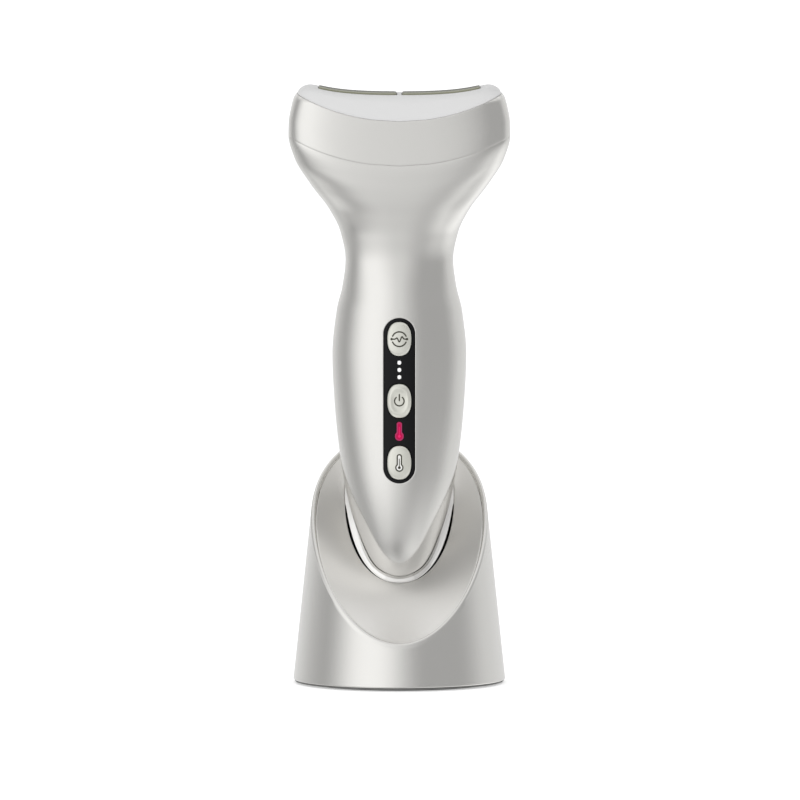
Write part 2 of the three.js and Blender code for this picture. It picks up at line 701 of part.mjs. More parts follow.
function addBezel() {
  const low = COLLAR_TOP_LEVEL + SEAM_GAP / 2;
  const outer = [0, 0.3, 0.53, 0.75, 1]
    .map((share) => bezelRing(share, 0, low, BEZEL_TOP_LEVEL, RING_POINTS));
  const inner = [0, 1]
    .map((share) => bezelRing(share, BODY_WALL, low - 1, BEZEL_TOP_LEVEL - BEZEL_ROOF, CAVITY_POINTS));
  const windows = [-1, 1].map((side) => (
    prismUp(plateShape(side, FIT_GAP), COLLAR_TOP_LEVEL - CUT_MARGIN, BEZEL_TOP_LEVEL + BEZEL_HEIGHT, 2)
  ));
  place(handset, 'head_bezel', cutBy(solid(loft(outer)), [solid(loft(inner)), ...windows]), BEZEL_WHITE);
}

function addPlates() {
  const reach = PLATE_SPACING / 2 + PLATE_LENGTH + 2;
  const steps = 20;
  const outline = [[reach, PLATE_BOTTOM_LEVEL - CUT_MARGIN]];
  for (let i = 0; i <= steps; i += 1) {
    const x = lerp(reach, -reach, i / steps);
    outline.push([x, PLATE_TOP_LEVEL + topRise(x, TOP_END_RADIUS)]);
  }
  outline.push([-reach, PLATE_BOTTOM_LEVEL - CUT_MARGIN]);
  const underArc = prismAlongY(shapeOf(outline), -PLATE_HALF_DEPTH - 2, PLATE_HALF_DEPTH + 2);
  for (const [side, word] of [[-1, 'left'], [1, 'right']]) {
    const column = prismUp(plateShape(side, 0), PLATE_BOTTOM_LEVEL, PLATE_TOP_LEVEL + BEZEL_HEIGHT, 2);
    place(handset, `contact_plate_${word}`, column.intersect(underArc), PLATE_METAL);
  }
}

// Two ceramic faces with the pellets between them
function addTiles() {
  const middle = (PLATE_SPACING + PLATE_LENGTH) / 2;
  const half = TILE_LENGTH / 2;
  const slab = (inset, low, high) => (
    block([-half + inset, -TILE_HALF_DEPTH + inset, low], [half - inset, TILE_HALF_DEPTH - inset, high])
  );
  const core = slab(TILE_CERAMIC, 0, TILE_THICKNESS);
  const faces = [slab(0, 0, TILE_CERAMIC), slab(0, TILE_THICKNESS - TILE_CERAMIC, TILE_THICKNESS)];
  const tile = joined([core, ...faces]);
  for (const [side, word] of [[-1, 'left'], [1, 'right']]) {
    place(handset, `peltier_${word}`, tile, CERAMIC, [side * middle, 0, TILE_BOTTOM_LEVEL]);
  }
}

function addHeatSink() {
  const reach = (PLATE_SPACING + PLATE_LENGTH) / 2 + TILE_LENGTH / 2 + 1;
  const pitch = (2 * reach - SINK_FIN_THICKNESS) / (SINK_FIN_COUNT - 1);
  const baseLevel = TILE_BOTTOM_LEVEL - SINK_BASE;
  const outline = [[reach, TILE_BOTTOM_LEVEL], [-reach, TILE_BOTTOM_LEVEL]];
  for (let i = 0; i < SINK_FIN_COUNT; i += 1) {
    const left = -reach + i * pitch;
    if (i > 0) outline.push([left, baseLevel]);
    outline.push([left, SINK_BOTTOM_LEVEL], [left + SINK_FIN_THICKNESS, SINK_BOTTOM_LEVEL]);
    if (i < SINK_FIN_COUNT - 1) outline.push([left + SINK_FIN_THICKNESS, baseLevel]);
  }
  const sink = prismAlongY(shapeOf(outline), -PLATE_HALF_DEPTH, PLATE_HALF_DEPTH);
  place(handset, 'heat_sink', sink, ALUMINIUM);
}

function addSensor() {
  const x = (PLATE_SPACING + PLATE_LENGTH + TILE_LENGTH) / 2 + SENSOR_RADIUS + FIT_GAP;
  const sensor = rod(SENSOR_RADIUS, -SENSOR_HEIGHT, 0, 12);
  place(handset, 'temperature_sensor', sensor, DARK_PLASTIC, [x, 0, PLATE_BOTTOM_LEVEL]);
}

function addFan() {
  const bottom = FAN_TOP_LEVEL - FAN_HEIGHT;
  const half = FAN_HALF_SIZE;
  const frame = prismUp(roundedRectangle(-half, half, -half, half, 2), bottom, FAN_TOP_LEVEL, 1);
  const spiderTop = bottom + FAN_SPIDER_HEIGHT;
  const bore = rod(FAN_BORE_RADIUS, bottom - 1, FAN_TOP_LEVEL + 1, 20);
  const arms = [0, 1].map((quarter) => (
    block([-FAN_BORE_RADIUS - 0.4, -0.8, bottom], [FAN_BORE_RADIUS + 0.4, 0.8, spiderTop])
      .rotate([0, 0, 45 + quarter * 90])
  ));
  const pin = rod(FAN_PIN_RADIUS, bottom, FAN_TOP_LEVEL - 1.2, 12);
  const seat = rod(FAN_HUB_RADIUS, bottom, spiderTop);
  place(handset, 'fan_frame', joined([frame.subtract(bore), ...arms, seat, pin]), DARK_PLASTIC);
  const low = spiderTop + FIT_GAP;
  const high = FAN_TOP_LEVEL - FIT_GAP;
  const hubBore = rod(FAN_PIN_RADIUS + FINE_GAP, low - 1, high - 0.8, 12);
  const hub = rod(FAN_HUB_RADIUS, low, high).subtract(hubBore);
  const length = FAN_BORE_RADIUS - FAN_TIP_GAP - FAN_HUB_RADIUS + 0.6;
  const thin = FAN_BLADE_THICKNESS / 2;
  const blades = [];
  for (let i = 0; i < FAN_BLADES; i += 1) {
    const blade = block([0, -thin, -FAN_BLADE_REACH], [length, thin, FAN_BLADE_REACH])
      .rotate([38, 0, 0])
      .translate([FAN_HUB_RADIUS - 0.6, 0, (low + high) / 2])
      .rotate([0, 0, 360 * i / FAN_BLADES]);
    blades.push(blade);
  }
  const sweep = rod(FAN_BORE_RADIUS - FAN_TIP_GAP, low, high, 20);
  place(handset, 'fan_rotor', hub.add(joined(blades).intersect(sweep)), FRAME_PLASTIC);
}

function addStrip() {
  const face = skinSolid(STRIP_SINK);
  const back = skinSolid(STRIP_SINK + STRIP_THICKNESS);
  const strip = stripPrism(0).intersect(face).subtract(back);
  place(handset, 'control_panel', cutBy(strip, stripOpenings(FIT_GAP)), GLOSS_BLACK);
}

// A key cap whose rounded face follows the handset's skin
function buttonCap(level) {
  const count = 16;
  const steps = [[0, 0], [0.55, 0.15], [1, 0.9]];
  const back = buttonOutline(0, count).map(([x, z]) => new THREE.Vector3(x, BUTTON_BACK_Y, level + z));
  const rings = [back];
  for (const [proud, inset] of steps) {
    rings.push(buttonOutline(-inset, count).map(([x, z]) => (
      new THREE.Vector3(x, -frontDepth(x, level + z) - proud * BUTTON_PROUD, level + z)
    )));
  }
  return solid(loft(rings));
}

function addButtons() {
  const stemLength = SWITCH_FRONT_Y + STEM_REACH - BUTTON_BACK_Y;
  const stem = pinAlongY(STEM_RADIUS, 0, stemLength, 12);
  const half = SWITCH_HALF_SIZE;
  const bore = pinAlongY(STEM_RADIUS + FIT_GAP, -1, SWITCH_BORE_DEPTH, 16);
  const housing = block([-half, 0, -half], [half, SWITCH_HEIGHT, half]).subtract(bore);
  for (const [word, level] of Object.entries(BUTTON_LEVELS)) {
    place(handset, `${word}_button`, buttonCap(level), KEY_GREY);
    place(handset, `${word}_stem`, stem, DARK_PLASTIC, [0, BUTTON_BACK_Y, level]);
    place(handset, `${word}_switch`, housing, DARK_PLASTIC, [0, SWITCH_FRONT_Y, level]);
  }
}

function addLights() {
  const middle = LIGHT_CENTRE;
  const faceAt = (level) => -frontDepth(0, level) + STRIP_SINK;
  const wallBack = -frontDepth(STRIP_HALF_WIDTH, middle, BODY_WALL) + FIT_GAP;
  const posts = LIGHT_LEVELS.map((level) => (
    pinAlongY(LIGHT_RADIUS, faceAt(level), wallBack + 0.2, 12).translate([0, 0, level])
  ));
  const reach = LIGHT_PITCH + LIGHT_RADIUS * 2;
  const plate = block(
    [-LIGHT_RADIUS * 2, wallBack, middle - reach],
    [LIGHT_RADIUS * 2, wallBack + GUIDE_PLATE_THICKNESS, middle + reach],
  );
  place(handset, 'level_light_guide', joined([plate, ...posts]), LIGHT_WHITE);
  const base = LENS_BASE;
  const lensBack = -frontDepth(STRIP_HALF_WIDTH, base, BODY_WALL) + FIT_GAP;
  const lens = lensBody(0, faceAt(base + LENS_HEIGHT / 2) + FINE_GAP, lensBack);
  place(handset, 'heat_indicator_lens', lens, LENS_RED);
}

const FRAME_FRONT_Y = BOARD_FRONT_Y + CONTROL_BOARD_THICKNESS + STANDOFF_HEIGHT;
const FRAME_BACK_Y = FRAME_FRONT_Y + FRAME_THICKNESS;
const BATTERY_FRONT_Y = FRAME_BACK_Y + CRADLE_RIB / 2;
const BATTERY_ROOM = halfDepthAt(TIP_LEVEL + BATTERY_BOTTOM) - BODY_WALL - 2 * FIT_GAP - BATTERY_FRONT_Y;
const BATTERY_RADIUS = BATTERY_ROOM / 2 - 0.6;
const BATTERY_Y = BATTERY_FRONT_Y + BATTERY_RADIUS;
const MOTOR_Y = FRAME_BACK_Y + MOTOR_RADIUS + CRADLE_RIB;
const BOARD_BOTTOM = BUTTON_LEVELS.temperature - SWITCH_HALF_SIZE - CONTROL_BOARD_MARGIN;
const BOARD_TOP = BUTTON_LEVELS.mode + SWITCH_HALF_SIZE + CONTROL_BOARD_MARGIN;

function addControlBoard() {
  const half = CONTROL_BOARD_HALF_WIDTH;
  const sheet = prismAlongY(
    roundedRectangle(-half, half, BOARD_BOTTOM, BOARD_TOP, 1.5),
    BOARD_FRONT_Y,
    BOARD_FRONT_Y + CONTROL_BOARD_THICKNESS,
    2,
  );
  const lamps = [...LIGHT_LEVELS, LENS_BASE + LENS_HEIGHT / 2].map((level) => (
    block([-1, BOARD_FRONT_Y - 0.8, level - 0.8], [1, BOARD_FRONT_Y + 0.1, level + 0.8])
  ));
  const chipRight = half - 1.5;
  const chipTop = STRIP_LEVEL - (BUTTON_PITCH - CONTROL_CHIP_SIZE) / 2;
  const chip = block(
    [chipRight - CONTROL_CHIP_SIZE, BOARD_FRONT_Y - 1, chipTop - CONTROL_CHIP_SIZE],
    [chipRight, BOARD_FRONT_Y + 0.1, chipTop],
  );
  place(handset, 'control_board', joined([sheet, ...lamps, chip]), BOARD_GREEN);
}

function addInnerFrame() {
  const reach = GRIP_HALF_WIDTH;
  const bottom = TIP_LEVEL + FRAME_BOTTOM;
  const slab = block([-reach, FRAME_FRONT_Y, bottom], [reach, FRAME_BACK_Y, TIP_LEVEL + FRAME_TOP]);
  const plate = slab.intersect(cavitySolid(BODY_WALL + FIT_GAP));
  const cellBottom = TIP_LEVEL + BATTERY_BOTTOM;
  const ribs = [0.15, 0.85].map((share) => {
    const level = cellBottom + share * BATTERY_LENGTH;
    const half = BATTERY_RADIUS * 0.9;
    const low = [-half, FRAME_BACK_Y - 0.1, level - CRADLE_RIB / 2];
    return block(low, [half, BATTERY_Y, level + CRADLE_RIB / 2]);
  });
  const cellRoomTop = cellBottom + BATTERY_LENGTH + CUT_MARGIN;
  const cell = rod(BATTERY_RADIUS + FIT_GAP, cellBottom - CUT_MARGIN, cellRoomTop, 20)
    .translate([0, BATTERY_Y, 0]);
  const motorLevel = TIP_LEVEL + MOTOR_LEVEL;
  const cradle = block(
    [-MOTOR_LENGTH + 1, FRAME_BACK_Y - 0.1, motorLevel - MOTOR_RADIUS],
    [-1, MOTOR_Y, motorLevel + MOTOR_RADIUS],
  );
  const motorRoom = pinAlongX(MOTOR_RADIUS + FIT_GAP, -MOTOR_LENGTH - CUT_MARGIN, CUT_MARGIN)
    .translate([0, MOTOR_Y, motorLevel]);
  const standoffs = [];
  for (const level of [BOARD_BOTTOM + STANDOFF_INSET, BOARD_TOP - STANDOFF_INSET]) {
    for (const side of [-1, 1]) {
      const x = side * (CONTROL_BOARD_HALF_WIDTH - STANDOFF_SIDE_INSET);
      const front = BOARD_FRONT_Y + CONTROL_BOARD_THICKNESS;
      const pad = pinAlongY(STANDOFF_RADIUS, front, FRAME_FRONT_Y + 0.1, 12);
      standoffs.push(pad.translate([x, 0, level]));
    }
  }
  const frame = joined([plate, ...ribs, cradle, ...standoffs]);
  place(handset, 'inner_frame', cutBy(frame, [cell, motorRoom]), FRAME_PLASTIC);
}

function addBattery() {
  const bottom = TIP_LEVEL + BATTERY_BOTTOM;
  const top = bottom + BATTERY_LENGTH;
  const cell = rod(BATTERY_RADIUS, bottom, top, 20);
  const cap = rod(BATTERY_RADIUS * 0.35, top - 0.1, top + BATTERY_TERMINAL, 12);
  place(handset, 'battery', cell.add(cap), CELL_WRAP, [0, BATTERY_Y, 0]);
}

function addVibrationMotor() {
  const centre = [0, MOTOR_Y, TIP_LEVEL + MOTOR_LEVEL];
  const bore = pinAlongX(MOTOR_SHAFT_RADIUS + FINE_GAP, -2, 1, 8);
  const can = pinAlongX(MOTOR_RADIUS, -MOTOR_LENGTH, 0, 16).subtract(bore);
  place(handset, 'vibration_motor', can, STEEL, centre);
  const shaft = pinAlongX(MOTOR_SHAFT_RADIUS, -1.6, WEIGHT_STANDOUT + WEIGHT_LENGTH, 8);
  const far = WEIGHT_STANDOUT + WEIGHT_LENGTH;
  const sector = pinAlongX(WEIGHT_RADIUS, WEIGHT_STANDOUT, far);
  const reach = WEIGHT_RADIUS * 2;
  const upper = block([0, -reach, WEIGHT_RADIUS * 0.35], [far + 1, reach, reach]);
  place(handset, 'vibration_weight', sector.subtract(upper).add(shaft), STEEL, centre);
}

function addChargeContacts() {
  const floor = TIP_LEVEL + TIP_FLOOR;
  const contact = turned([
    [0, TIP_LEVEL],
    [CONTACT_RADIUS, TIP_LEVEL],
    [CONTACT_RADIUS, floor],
    [CONTACT_HEAD_RADIUS, floor],
    [CONTACT_HEAD_RADIUS, floor + CONTACT_HEAD_HEIGHT],
    [0, floor + CONTACT_HEAD_HEIGHT],
  ], 12);
  for (const [side, word] of [[-1, 'left'], [1, 'right']]) {
    place(handset, `charge_contact_${word}`, contact, GOLD, [side * CONTACT_OFFSET, 0, 0]);
  }
}

// Dock surfaces, by the turn around the upright axis
const coneRadiusAt = (level) => FOOT_RADIUS - DOCK_TAPER * level;
const rimLevelAt = (y) => RIM_MID_LEVEL + RIM_SLOPE * y - RIM_BOW * y * y;

function rimRadiusAt(angle) {
  let radius = FOOT_RADIUS;
  for (let i = 0; i < 16; i += 1) radius = coneRadiusAt(rimLevelAt(radius * Math.sin(angle)));
  return radius;
}

// The lip keeps its width along the slope, so its plan narrows where the slope faces outwards
function lipWidthAt(angle) {
  const y = rimRadiusAt(angle) * Math.sin(angle);
  const slope = (RIM_SLOPE - 2 * RIM_BOW * y) * Math.sin(angle);
  return LIP_WIDTH / Math.sqrt(1 + slope * slope);
}

// The well is a squared oval about a point behind the axis, so its radius is found by halving
function wellRadiusAt(angle) {
  const [c, s] = [Math.cos(angle), Math.sin(angle)];
  let low = 0;
  let high = WELL_HALF_WIDTH + WELL_CENTRE_Y;
  for (let i = 0; i < 24; i += 1) {
    const radius = (low + high) / 2;
    const y = radius * s - WELL_CENTRE_Y;
    const across = Math.abs(radius * c / WELL_HALF_WIDTH) ** WELL_SQUARENESS;
    const along = Math.abs(y / (y > 0 ? WELL_REAR_REACH : WELL_FRONT_REACH)) ** WELL_SQUARENESS;
    if (across + along < 1) low = radius;
    else high = radius;
  }
  return low;
}

function wellLevelAt(y) {
  const past = y - WELL_CENTRE_Y;
  const front = TIP_LEVEL + FIT_GAP + WELL_RISE;
  const dip = past > 0 ? WELL_REAR_DIP * (past / WELL_REAR_REACH) ** 2 : 0;
  return front + past * WELL_RISE / WELL_FRONT_REACH - dip;
}

function dishEdgeAt(angle) {
  const radius = rimRadiusAt(angle) - lipWidthAt(angle) - FIT_GAP;
  return [radius, rimLevelAt(radius * Math.sin(angle)) - LIP_DROP];
}

function dishTopAt(angle, share) {
  const [edgeRadius, edgeLevel] = dishEdgeAt(angle);
  const wellRadius = wellRadiusAt(angle);
  const wellLevel = wellLevelAt(wellRadius * Math.sin(angle));
  const sink = DISH_SAG * 4 * share * (1 - share);
  return [lerp(edgeRadius, wellRadius, share), lerp(edgeLevel, wellLevel, share) - sink];
}

function aroundDock(profileAt) {
  const profiles = [];
  for (let i = 0; i < DOCK_STEPS; i += 1) {
    const angle = TURN * i / DOCK_STEPS;
    const [c, s] = [Math.cos(angle), Math.sin(angle)];
    const points = profileAt(angle);
    profiles.push(points.map(([radius, level]) => new THREE.Vector3(radius * c, radius * s, level)));
  }
  return solid(ringSolid(profiles));
}

const BASE_BOTTOM = PAD_STANDOUT;
const SHELL_BOTTOM = BASE_BOTTOM + BASE_EDGE_HEIGHT;
const BASE_TOP = BASE_BOTTOM + BASE_THICKNESS;
const PAD_RADIUS = FOOT_RADIUS - PAD_INSET;
const SPIGOT_RADIUS = coneRadiusAt(BASE_TOP) - DOCK_WALL - FIT_GAP;
const SCREW_CIRCLE = SPIGOT_RADIUS - BOSS_RADIUS - 1.3;
const SEAT_TOP = BASE_TOP + 2;
const BALLAST_RADIUS = SCREW_CIRCLE - BOSS_RADIUS - 3 * FIT_GAP;

function dockShellProfile(angle) {
  const s = Math.sin(angle);
  const rimRadius = rimRadiusAt(angle);
  const lipWidth = lipWidthAt(angle);
  const lipPoint = (share) => {
    const radius = rimRadius - lipWidth * share;
    const fall = LIP_DROP * Math.abs(2 * share - 1) ** 2.5;
    return [radius, rimLevelAt(radius * s) - fall];
  };
  const outerTop = rimLevelAt(rimRadius * s) - LIP_DROP;
  const ledgeShare = LEDGE_WIDTH / (dishEdgeAt(angle)[0] - wellRadiusAt(angle));
  const ledgeAt = (share) => {
    const [radius, level] = dishTopAt(angle, share);
    return [radius, level - DISH_THICKNESS - FIT_GAP];
  };
  const rebateRadius = rimRadius - lipWidth;
  const [ledgeRadius, ledgeLevel] = ledgeAt(ledgeShare);
  const underLedge = ledgeLevel - LEDGE_DEPTH;
  return [
    [coneRadiusAt(SHELL_BOTTOM) - SHELL_FOOT_ROUND, SHELL_BOTTOM],
    [coneRadiusAt(SHELL_BOTTOM + SHELL_FOOT_ROUND), SHELL_BOTTOM + SHELL_FOOT_ROUND],
    [coneRadiusAt(outerTop), outerTop],
    lipPoint(0.15),
    lipPoint(0.5),
    lipPoint(0.85),
    lipPoint(1),
    [rebateRadius, ledgeAt(0)[1]],
    [ledgeRadius, ledgeLevel],
    [coneRadiusAt(underLedge) - DOCK_WALL, underLedge],
    [coneRadiusAt(SHELL_BOTTOM) - DOCK_WALL, SHELL_BOTTOM],
  ];
}

function screwPlaces() {
  const places = [];
  for (let i = 0; i < SCREW_COUNT; i += 1) {
    const angle = TURN * (i / SCREW_COUNT - 0.25);
    places.push([SCREW_CIRCLE * Math.cos(angle), SCREW_CIRCLE * Math.sin(angle), angle]);
  }
  return places;
}

function socketShape(grow) {
  const half = SOCKET_WIDTH / 2 + grow;
  const high = SOCKET_HEIGHT / 2 + grow;
  return roundedRectangle(-half, half, -high, high, high * 0.9);
}

const SOCKET_LEVEL = BOARD_LEVEL + BOARD_THICKNESS + SOCKET_HEIGHT / 2;
const SOCKET_MOUTH_Y = coneRadiusAt(SOCKET_LEVEL) - SOCKET_RECESS;

function addDockShell() {
  const bossBottom = SEAT_TOP + FIT_GAP;
  const bossTop = bossBottom + BOSS_HEIGHT;
  const bosses = screwPlaces().map(([x, y, angle]) => {
    const reach = coneRadiusAt(bossTop) - DOCK_WALL / 2 - SCREW_CIRCLE;
    const web = block([0, -BOSS_RADIUS / 2, bossBottom], [reach, BOSS_RADIUS / 2, bossTop])
      .rotate([0, 0, angle * 360 / TURN]);
    return rod(BOSS_RADIUS, bossBottom, bossTop, 10).add(web).translate([x, y, 0]);
  });
  const bores = screwPlaces().map(([x, y]) => (
    rod(SCREW_SHANK_RADIUS + FINE_GAP, bossBottom - 1, bossTop - 1.5, 10).translate([x, y, 0])
  ));
  const mouth = prismAlongY(socketShape(FIT_GAP), FOOT_RADIUS / 2, FOOT_RADIUS + CUT_MARGIN, 3)
    .translate([0, 0, SOCKET_LEVEL]);
  const shell = joined([aroundDock(dockShellProfile), ...bosses]);
  place(dock, 'dock_shell', cutBy(shell, [...bores, mouth]), PAINT);
}

function dishProfile(angle) {
  const top = (share) => dishTopAt(angle, share);
  const under = (share) => [top(share)[0], top(share)[1] - DISH_THICKNESS];
  const wellRadius = wellRadiusAt(angle);
  const wellLevel = wellLevelAt(wellRadius * Math.sin(angle));
  const span = top(0)[0] - wellRadius;
  const nearWell = 1 - 0.7 / span;
  return [
    under(0),
    top(0),
    top(0.3),
    top(0.65),
    top(nearWell),
    [wellRadius + 0.12, wellLevel - 0.15],
    [wellRadius, wellLevel - 0.6],
    [wellRadius, wellLevel - WELL_SKIRT],
    [wellRadius + DISH_THICKNESS * 0.6, wellLevel - WELL_SKIRT],
    under(0.6),
  ];
}

// The liner's wall follows the handset's tip with a little room, and opens towards its rim
function cupProfile(angle) {
  const s = Math.sin(angle);
  const outerRim = wellRadiusAt(angle) - WELL_SLIT;
  const innerRim = outerRim - CUP_RIM_WIDTH;
  const rimLevel = wellLevelAt(wellRadiusAt(angle) * s) + CUP_RIM_RISE;
  const bottom = CUP_FLOOR_LEVEL - CUP_FLOOR_THICKNESS;
  const top = rimLevel - 0.6;
  const roomAtTop = innerRim - tipRadiusAt(angle, top);
  const wallAt = (share, thickness) => {
    const level = lerp(bottom, top, share);
    const room = lerp(CUP_FIT, roomAtTop, share ** 1.5);
    return [tipRadiusAt(angle, level) + room + thickness, level];
  };
  const shares = [0, 0.3, 0.65, 1];
  return [
    ...shares.map((share) => wallAt(share, CUP_RIM_WIDTH)),
    [outerRim - 0.35, rimLevel],
    [innerRim + 0.35, rimLevel],
    ...shares.map((share) => wallAt(share, 0)).reverse(),
  ];
}

function tipRadiusAt(angle, level) {
  const at = Math.max(level, TIP_LEVEL);
  const squareness = squarenessAt(at);
  const across = (Math.abs(Math.cos(angle)) / halfWidthAt(at)) ** squareness;
  const along = (Math.abs(Math.sin(angle)) / halfDepthAt(at)) ** squareness;
  return (across + along) ** (-1 / squareness);
}

function addCup() {
  const bottom = CUP_FLOOR_LEVEL - CUP_FLOOR_THICKNESS;
  const grow = CUP_FIT + CUP_RIM_WIDTH / 2;
  const floorRing = (level) => (
    ovalPoints(TIP_HALF_WIDTH + grow, TIP_HALF_DEPTH + grow, 2, CAVITY_POINTS)
      .map(([x, y]) => new THREE.Vector3(x, y, level))
  );
  const floor = solid(loft([floorRing(bottom), floorRing(CUP_FLOOR_LEVEL)]));
  const holes = [-1, 1].map((side) => (
    rod(PIN_RADIUS + FIT_GAP, bottom - 1, CUP_FLOOR_LEVEL + 1, 16).translate([side * CONTACT_OFFSET, 0, 0])
  ));
  place(dock, 'dock_cup', cutBy(aroundDock(cupProfile).add(floor), holes), PAINT);
}

const PIN_TOP = TIP_LEVEL - PIN_CONTACT_GAP;
const PIN_BOTTOM = PIN_TOP - PIN_LENGTH;
const HOUSING_TOP = CUP_FLOOR_LEVEL - CUP_FLOOR_THICKNESS;
const HOUSING_BORE_BOTTOM = HOUSING_TOP - PIN_HOUSING_HEIGHT + PIN_HOUSING_FLOOR;

function addPins() {
  const half = CONTACT_OFFSET + PIN_COLLAR_RADIUS + FIT_GAP + 1.6;
  const depth = PIN_COLLAR_RADIUS + FIT_GAP + 1.6;
  const outline = roundedRectangle(-half, half, -depth, depth, 1);
  const body = prismUp(outline, HOUSING_TOP - PIN_HOUSING_HEIGHT, HOUSING_TOP, 1);
  const stop = PIN_BOTTOM + PIN_COLLAR_HEIGHT + PIN_TRAVEL;
  const bores = [-1, 1].map((side) => {
    const room = rod(PIN_COLLAR_RADIUS + FIT_GAP, HOUSING_BORE_BOTTOM, stop, 12);
    const guide = rod(PIN_RADIUS + FIT_GAP, stop - 0.1, HOUSING_TOP + 1, 12);
    return room.add(guide).translate([side * CONTACT_OFFSET, 0, 0]);
  });
  place(dock, 'pin_housing', cutBy(body, bores), DARK_PLASTIC);
  const pin = turned([
    [0, PIN_BOTTOM],
    [PIN_COLLAR_RADIUS, PIN_BOTTOM],
    [PIN_COLLAR_RADIUS, PIN_BOTTOM + PIN_COLLAR_HEIGHT],
    [PIN_RADIUS, PIN_BOTTOM + PIN_COLLAR_HEIGHT],
    [PIN_RADIUS, PIN_TOP - 0.4],
    [PIN_RADIUS * 0.6, PIN_TOP],
    [0, PIN_TOP],
  ], 12);
  for (const [side, word] of [[-1, 'left'], [1, 'right']]) {
    place(dock, `charge_pin_${word}`, pin, GOLD, [side * CONTACT_OFFSET, 0, 0]);
    place(dock, `pin_spring_${word}`, solid(springGeometry()), STEEL, [side * CONTACT_OFFSET, 0, 0]);
  }
}

function springGeometry() {
  const low = HOUSING_BORE_BOTTOM + SPRING_WIRE_RADIUS + 0.1;
  const high = PIN_BOTTOM - SPRING_WIRE_RADIUS - 0.1;
  const radius = PIN_COLLAR_RADIUS - SPRING_WIRE_RADIUS;
  const points = [];
  const steps = SPRING_TURNS * 6;
  for (let i = 0; i <= steps; i += 1) {
    const angle = TURN * i / 6;
    const [x, y] = [radius * Math.cos(angle), radius * Math.sin(angle)];
    points.push(new THREE.Vector3(x, y, lerp(low, high, i / steps)));
  }
  const wire = SPRING_WIRE_RADIUS;
  const section = shapeOf([[wire, 0], [0, wire], [-wire, 0], [0, -wire]]);
  const path = new THREE.CatmullRomCurve3(points);
  return new THREE.ExtrudeGeometry(section, { steps, extrudePath: path, bevelEnabled: false });
}

function addBase() {
  const edge = coneRadiusAt(SHELL_BOTTOM) - BASE_EDGE_INSET;
  const pocketTop = PAD_THICKNESS;
  const disc = turned([
    [0, pocketTop],
    [PAD_RADIUS + FIT_GAP, pocketTop],
    [PAD_RADIUS + FIT_GAP, BASE_BOTTOM],
    [edge, BASE_BOTTOM],
    [edge, SHELL_BOTTOM - FINE_GAP],
    [SPIGOT_RADIUS, SHELL_BOTTOM - FINE_GAP],
    [SPIGOT_RADIUS, BASE_TOP],
    [0, BASE_TOP],
  ], 32);
  const seat = rod(BOSS_RADIUS, BASE_TOP - 0.5, SEAT_TOP);
  const additions = screwPlaces().map(([x, y]) => seat.translate([x, y, 0]));
  for (const y of boardPostRows()) {
    for (const side of [-1, 1]) {
      const x = side * (DOCK_BOARD_HALF_WIDTH - POST_RADIUS - 0.5);
      additions.push(rod(POST_RADIUS, BASE_TOP - 0.5, BOARD_LEVEL, 10).translate([x, y, 0]));
    }
  }
  const headTop = PAD_THICKNESS + FIT_GAP + SCREW_HEAD_HEIGHT;
  const cuts = screwPlaces().map(([x, y]) => {
    const sink = rod(SCREW_HEAD_RADIUS + FIT_GAP, 0, headTop);
    return sink.add(rod(SCREW_SHANK_RADIUS + FIT_GAP, 0, SEAT_TOP + 1, 10)).translate([x, y, 0]);
  });
  place(dock, 'base_plate', cutBy(joined([disc, ...additions]), cuts), DARK_PLASTIC);
  place(dock, 'non_slip_pad', rod(PAD_RADIUS, 0, PAD_THICKNESS, 32), PAD_RUBBER);
  const screw = turned([
    [0, headTop - SCREW_HEAD_HEIGHT],
    [SCREW_HEAD_RADIUS, headTop - SCREW_HEAD_HEIGHT],
    [SCREW_HEAD_RADIUS, headTop],
    [SCREW_SHANK_RADIUS, headTop],
    [SCREW_SHANK_RADIUS, headTop + SCREW_LENGTH],
    [0, headTop + SCREW_LENGTH + 0.8],
  ], 10);
  screwPlaces().forEach(([x, y], i) => place(dock, `base_screw_${i + 1}`, screw, STEEL, [x, y, 0]));
}

const BOARD_REAR_Y = Math.sqrt(
  (coneRadiusAt(BOARD_LEVEL + BOARD_THICKNESS) - DOCK_WALL - FIT_GAP) ** 2 - DOCK_BOARD_HALF_WIDTH ** 2,
) - 0.5;

function boardPostRows() {
  return [0, BOARD_REAR_Y - POST_RADIUS - 0.8];
}

function addBallast() {
  const ring = rod(BALLAST_RADIUS, BASE_TOP, BASE_TOP + BALLAST_HEIGHT, 20);
  const bore = rod(BALLAST_BORE_RADIUS, BASE_TOP - 1, BASE_TOP + BALLAST_HEIGHT + 1, 12);
  place(dock, 'ballast_plate', ring.subtract(bore), STEEL);
}

function addDockBoard() {
  const half = DOCK_BOARD_HALF_WIDTH;
  const top = BOARD_LEVEL + BOARD_THICKNESS;
  const outline = roundedRectangle(-half, half, DOCK_BOARD_FRONT_Y, BOARD_REAR_Y, 1);
  const sheet = prismUp(outline, BOARD_LEVEL, top, 2);
  const chips = [[-6, 3, 5], [3, 8, 4]]
    .map(([x, y, size]) => block([x, y, top - 0.1], [x + size, y + size, top + 1]));
  place(dock, 'dock_board', joined([sheet, ...chips]), BOARD_GREEN);
  const rear = SOCKET_MOUTH_Y - SOCKET_DEPTH;
  const outer = prismAlongY(socketShape(0), rear, SOCKET_MOUTH_Y, 2);
  const inner = prismAlongY(socketShape(-SOCKET_WALL), rear + 1, SOCKET_MOUTH_Y + 1, 2);
  const tongue = block(
    [-TONGUE_HALF_WIDTH, rear + 0.5, -TONGUE_HALF_THICKNESS],
    [TONGUE_HALF_WIDTH, SOCKET_MOUTH_Y - TONGUE_RECESS, TONGUE_HALF_THICKNESS],
  );
  place(dock, 'usb_socket', outer.subtract(inner).add(tongue), STEEL, [0, 0, SOCKET_LEVEL]);
}

